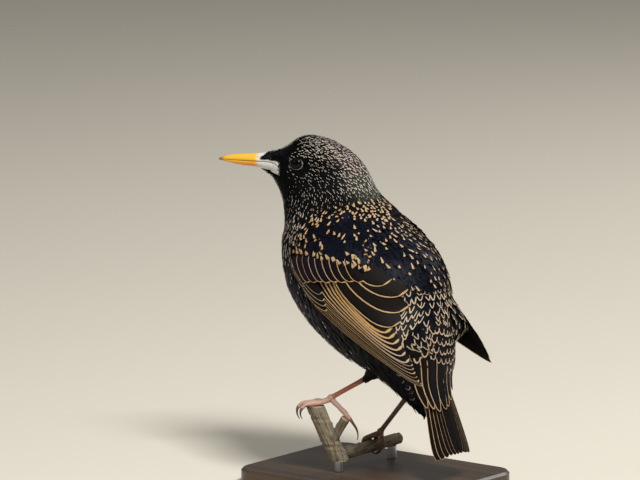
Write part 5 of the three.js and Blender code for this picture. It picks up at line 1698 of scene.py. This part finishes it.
def bill_bristles():
    """The short black feathers that run forward over the bill: a wedge on each side, from the ridge and the
    bare root to a point above the nostril, and a tuft under the lower half from the chin. Each is a short
    vane laid along the bill's side, pointing ahead; the chin's stand off in layers."""
    grown = []
    for side in SIDES.values():
        for upper, count in ((True, 900), (False, 640)):
            t = DRAW.random(count) ** 1.15
            if upper:
                ahead = 22.0 + t * 9.9
                ridge, mouth, _, _ = bill_lines(ahead)
                lowest = np.maximum(bare_top(ahead), mouth + 0.15)
                highest = np.minimum(46.1 + 0.8 * (31.9 - ahead), ridge)
                height = lowest + (highest - lowest) * DRAW.random(count) ** 0.75
                share = np.clip((height - mouth) / (ridge - mouth), 0.03, 0.999)
            else:
                ahead = 22.0 + t * 10.0
                share = 1 - DRAW.random(count) * (0.3 * (1 - t) + 0.02)
            here = bill_point(upper, side, ahead, share)
            way = unit(bill_point(upper, side, ahead + 0.3, share) - here)
            above, below = (bill_point(upper, side, ahead, np.clip(share + d, 0, 1)) for d in (0.05, -0.05))
            out = unit(np.cross(above - below, way))
            middle = head_point(ahead, np.zeros(count), np.full(count, 44.0))
            out = np.where(dot(out, here - middle) < 0, -out, out)
            if not upper:
                off = (32.6 - ahead) * 0.42 * DRAW.random(count)
                here = here + unit(out + [0, 0, -0.8]) * off[:, None]
            root = stacked(0.5 + side * (0.1 + 0.1 * share), 0.9 - 0.004 * ahead + 0.05 * upper)
            grown.append((here, way, out, root))
    point, way, out, root = (np.concatenate(part) for part in zip(*grown))
    n = len(point)
    way = unit(way + out * 0.08 + np.cross(out, way) * DRAW.normal(0, 0.13, (n, 1)))
    length, half = DRAW.uniform(1.1, 2.1, n), DRAW.uniform(0.13, 0.21, n)
    rows = point[:, None] + way[:, None] * (SMALL_ROWS[None] * length[:, None])[..., None]
    normals = np.broadcast_to(out[:, None], rows.shape)
    sides = np.broadcast_to(np.cross(out, way)[:, None], rows.shape)
    height = -0.2 + (0.3 + 0.1 * DRAW.uniform(0.4, 1.6, (n, 1))) * SMALL_ROWS[None] ** 0.6
    bend = np.full(height.shape, 0.1)
    tint = np.broadcast_to([0.004, 0.004, 0.005], (n, 3))
    piece = small_feathers("bill_root_feathers", rows, normals, sides, length, half, height, bend,
                           plain_marks(n), tint, head_plumage, root, 1.0)


def bill():
    """Both halves of the bill, and the feathers at its root."""
    upper = bill_half("bill_upper", True, bill_material("bill_horn", False))
    lower = bill_half("bill_lower", False, bill_material("bill_horn_lower", True))
    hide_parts("upper_bill")
    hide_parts("lower_bill")
    bill_bristles()


# Camera, floor and light

# The camera's angle in degrees, its lens in millimetres, and its distance and aim in metres.
CAMERA = {"azimuth": 38, "elevation": 10, "lens": 329, "distance": 3.0, "right": -0.01897, "up": 0.00513}


def camera():
    """The camera at the photograph's angle: 38 degrees round to the bird's left, 10 degrees above."""
    azimuth, elevation = math.radians(CAMERA["azimuth"]), math.radians(CAMERA["elevation"])
    level = math.cos(elevation)
    back = Vector((math.sin(azimuth) * level, -math.cos(azimuth) * level, math.sin(elevation)))
    right = Vector((math.cos(azimuth), math.sin(azimuth), 0))
    middle = Vector(DATUM * MM) + right * CAMERA["right"] + back.cross(right) * CAMERA["up"]
    data = bpy.data.cameras.new("camera")
    data.lens, data.sensor_width, data.clip_end = CAMERA["lens"], 36, 50
    obj = bpy.data.objects.new("camera", data)
    obj.location = middle + back * CAMERA["distance"]
    obj.rotation_euler = (-back).to_track_quat("-Z", "Y").to_euler()
    bpy.context.scene.collection.objects.link(obj)
    bpy.context.scene.camera = obj


# Soft square lights: a name, a place and a width in metres, and a power in watts.
LIGHTS = (("key", (0.9, -0.5, 1.5), 0.45, 37), ("fill", (-0.9, -1.3, 1.0), 1.0, 3),
          ("rim", (0.2, 1.3, 1.1), 0.8, 10))
FLOOR_REACH = 8


def stage():
    """A pale floor and three soft lights: one high from behind, a broad front fill and a low rim."""
    mesh = bpy.data.meshes.new("floor")
    corners = [(x * FLOOR_REACH, y * FLOOR_REACH, 0) for x, y in ((-1, -1), (1, -1), (1, 1), (-1, 1))]
    mesh.from_pydata(corners, [], [(0, 1, 2, 3)])
    made, t = material("floor_paper", 0.9, Specular_IOR_Level=0.2)
    t.cover(t.mix(t.noise(t.object_place(), 3.0), PAINT["floor"], PAINT["floor_pale"]))
    mesh.materials.append(made)
    floor = bpy.data.objects.new("floor", mesh)
    bpy.context.scene.collection.objects.link(floor)
    world = bpy.data.worlds.new("studio")
    world.use_nodes = True
    background = world.node_tree.nodes["Background"].inputs
    background["Color"].default_value = PAINT["studio"]
    background["Strength"].default_value = 0.24
    bpy.context.scene.world = world
    for name, where, size, power in LIGHTS:
        data = bpy.data.lights.new(name, "AREA")
        data.size, data.energy = size, power
        obj = bpy.data.objects.new(name, data)
        obj.location = where
        obj.rotation_euler = (Vector(where) - Vector(DATUM * MM)).to_track_quat("Z", "Y").to_euler()
        bpy.context.scene.collection.objects.link(obj)
    bpy.context.scene.view_settings.view_transform = "Standard"


camera()
skin()
coat()
for wing in SIDES:
    wing_pieces(wing)
tail_pieces()
eyes()
bill()
legs()
perch()
stand_materials()
stage()
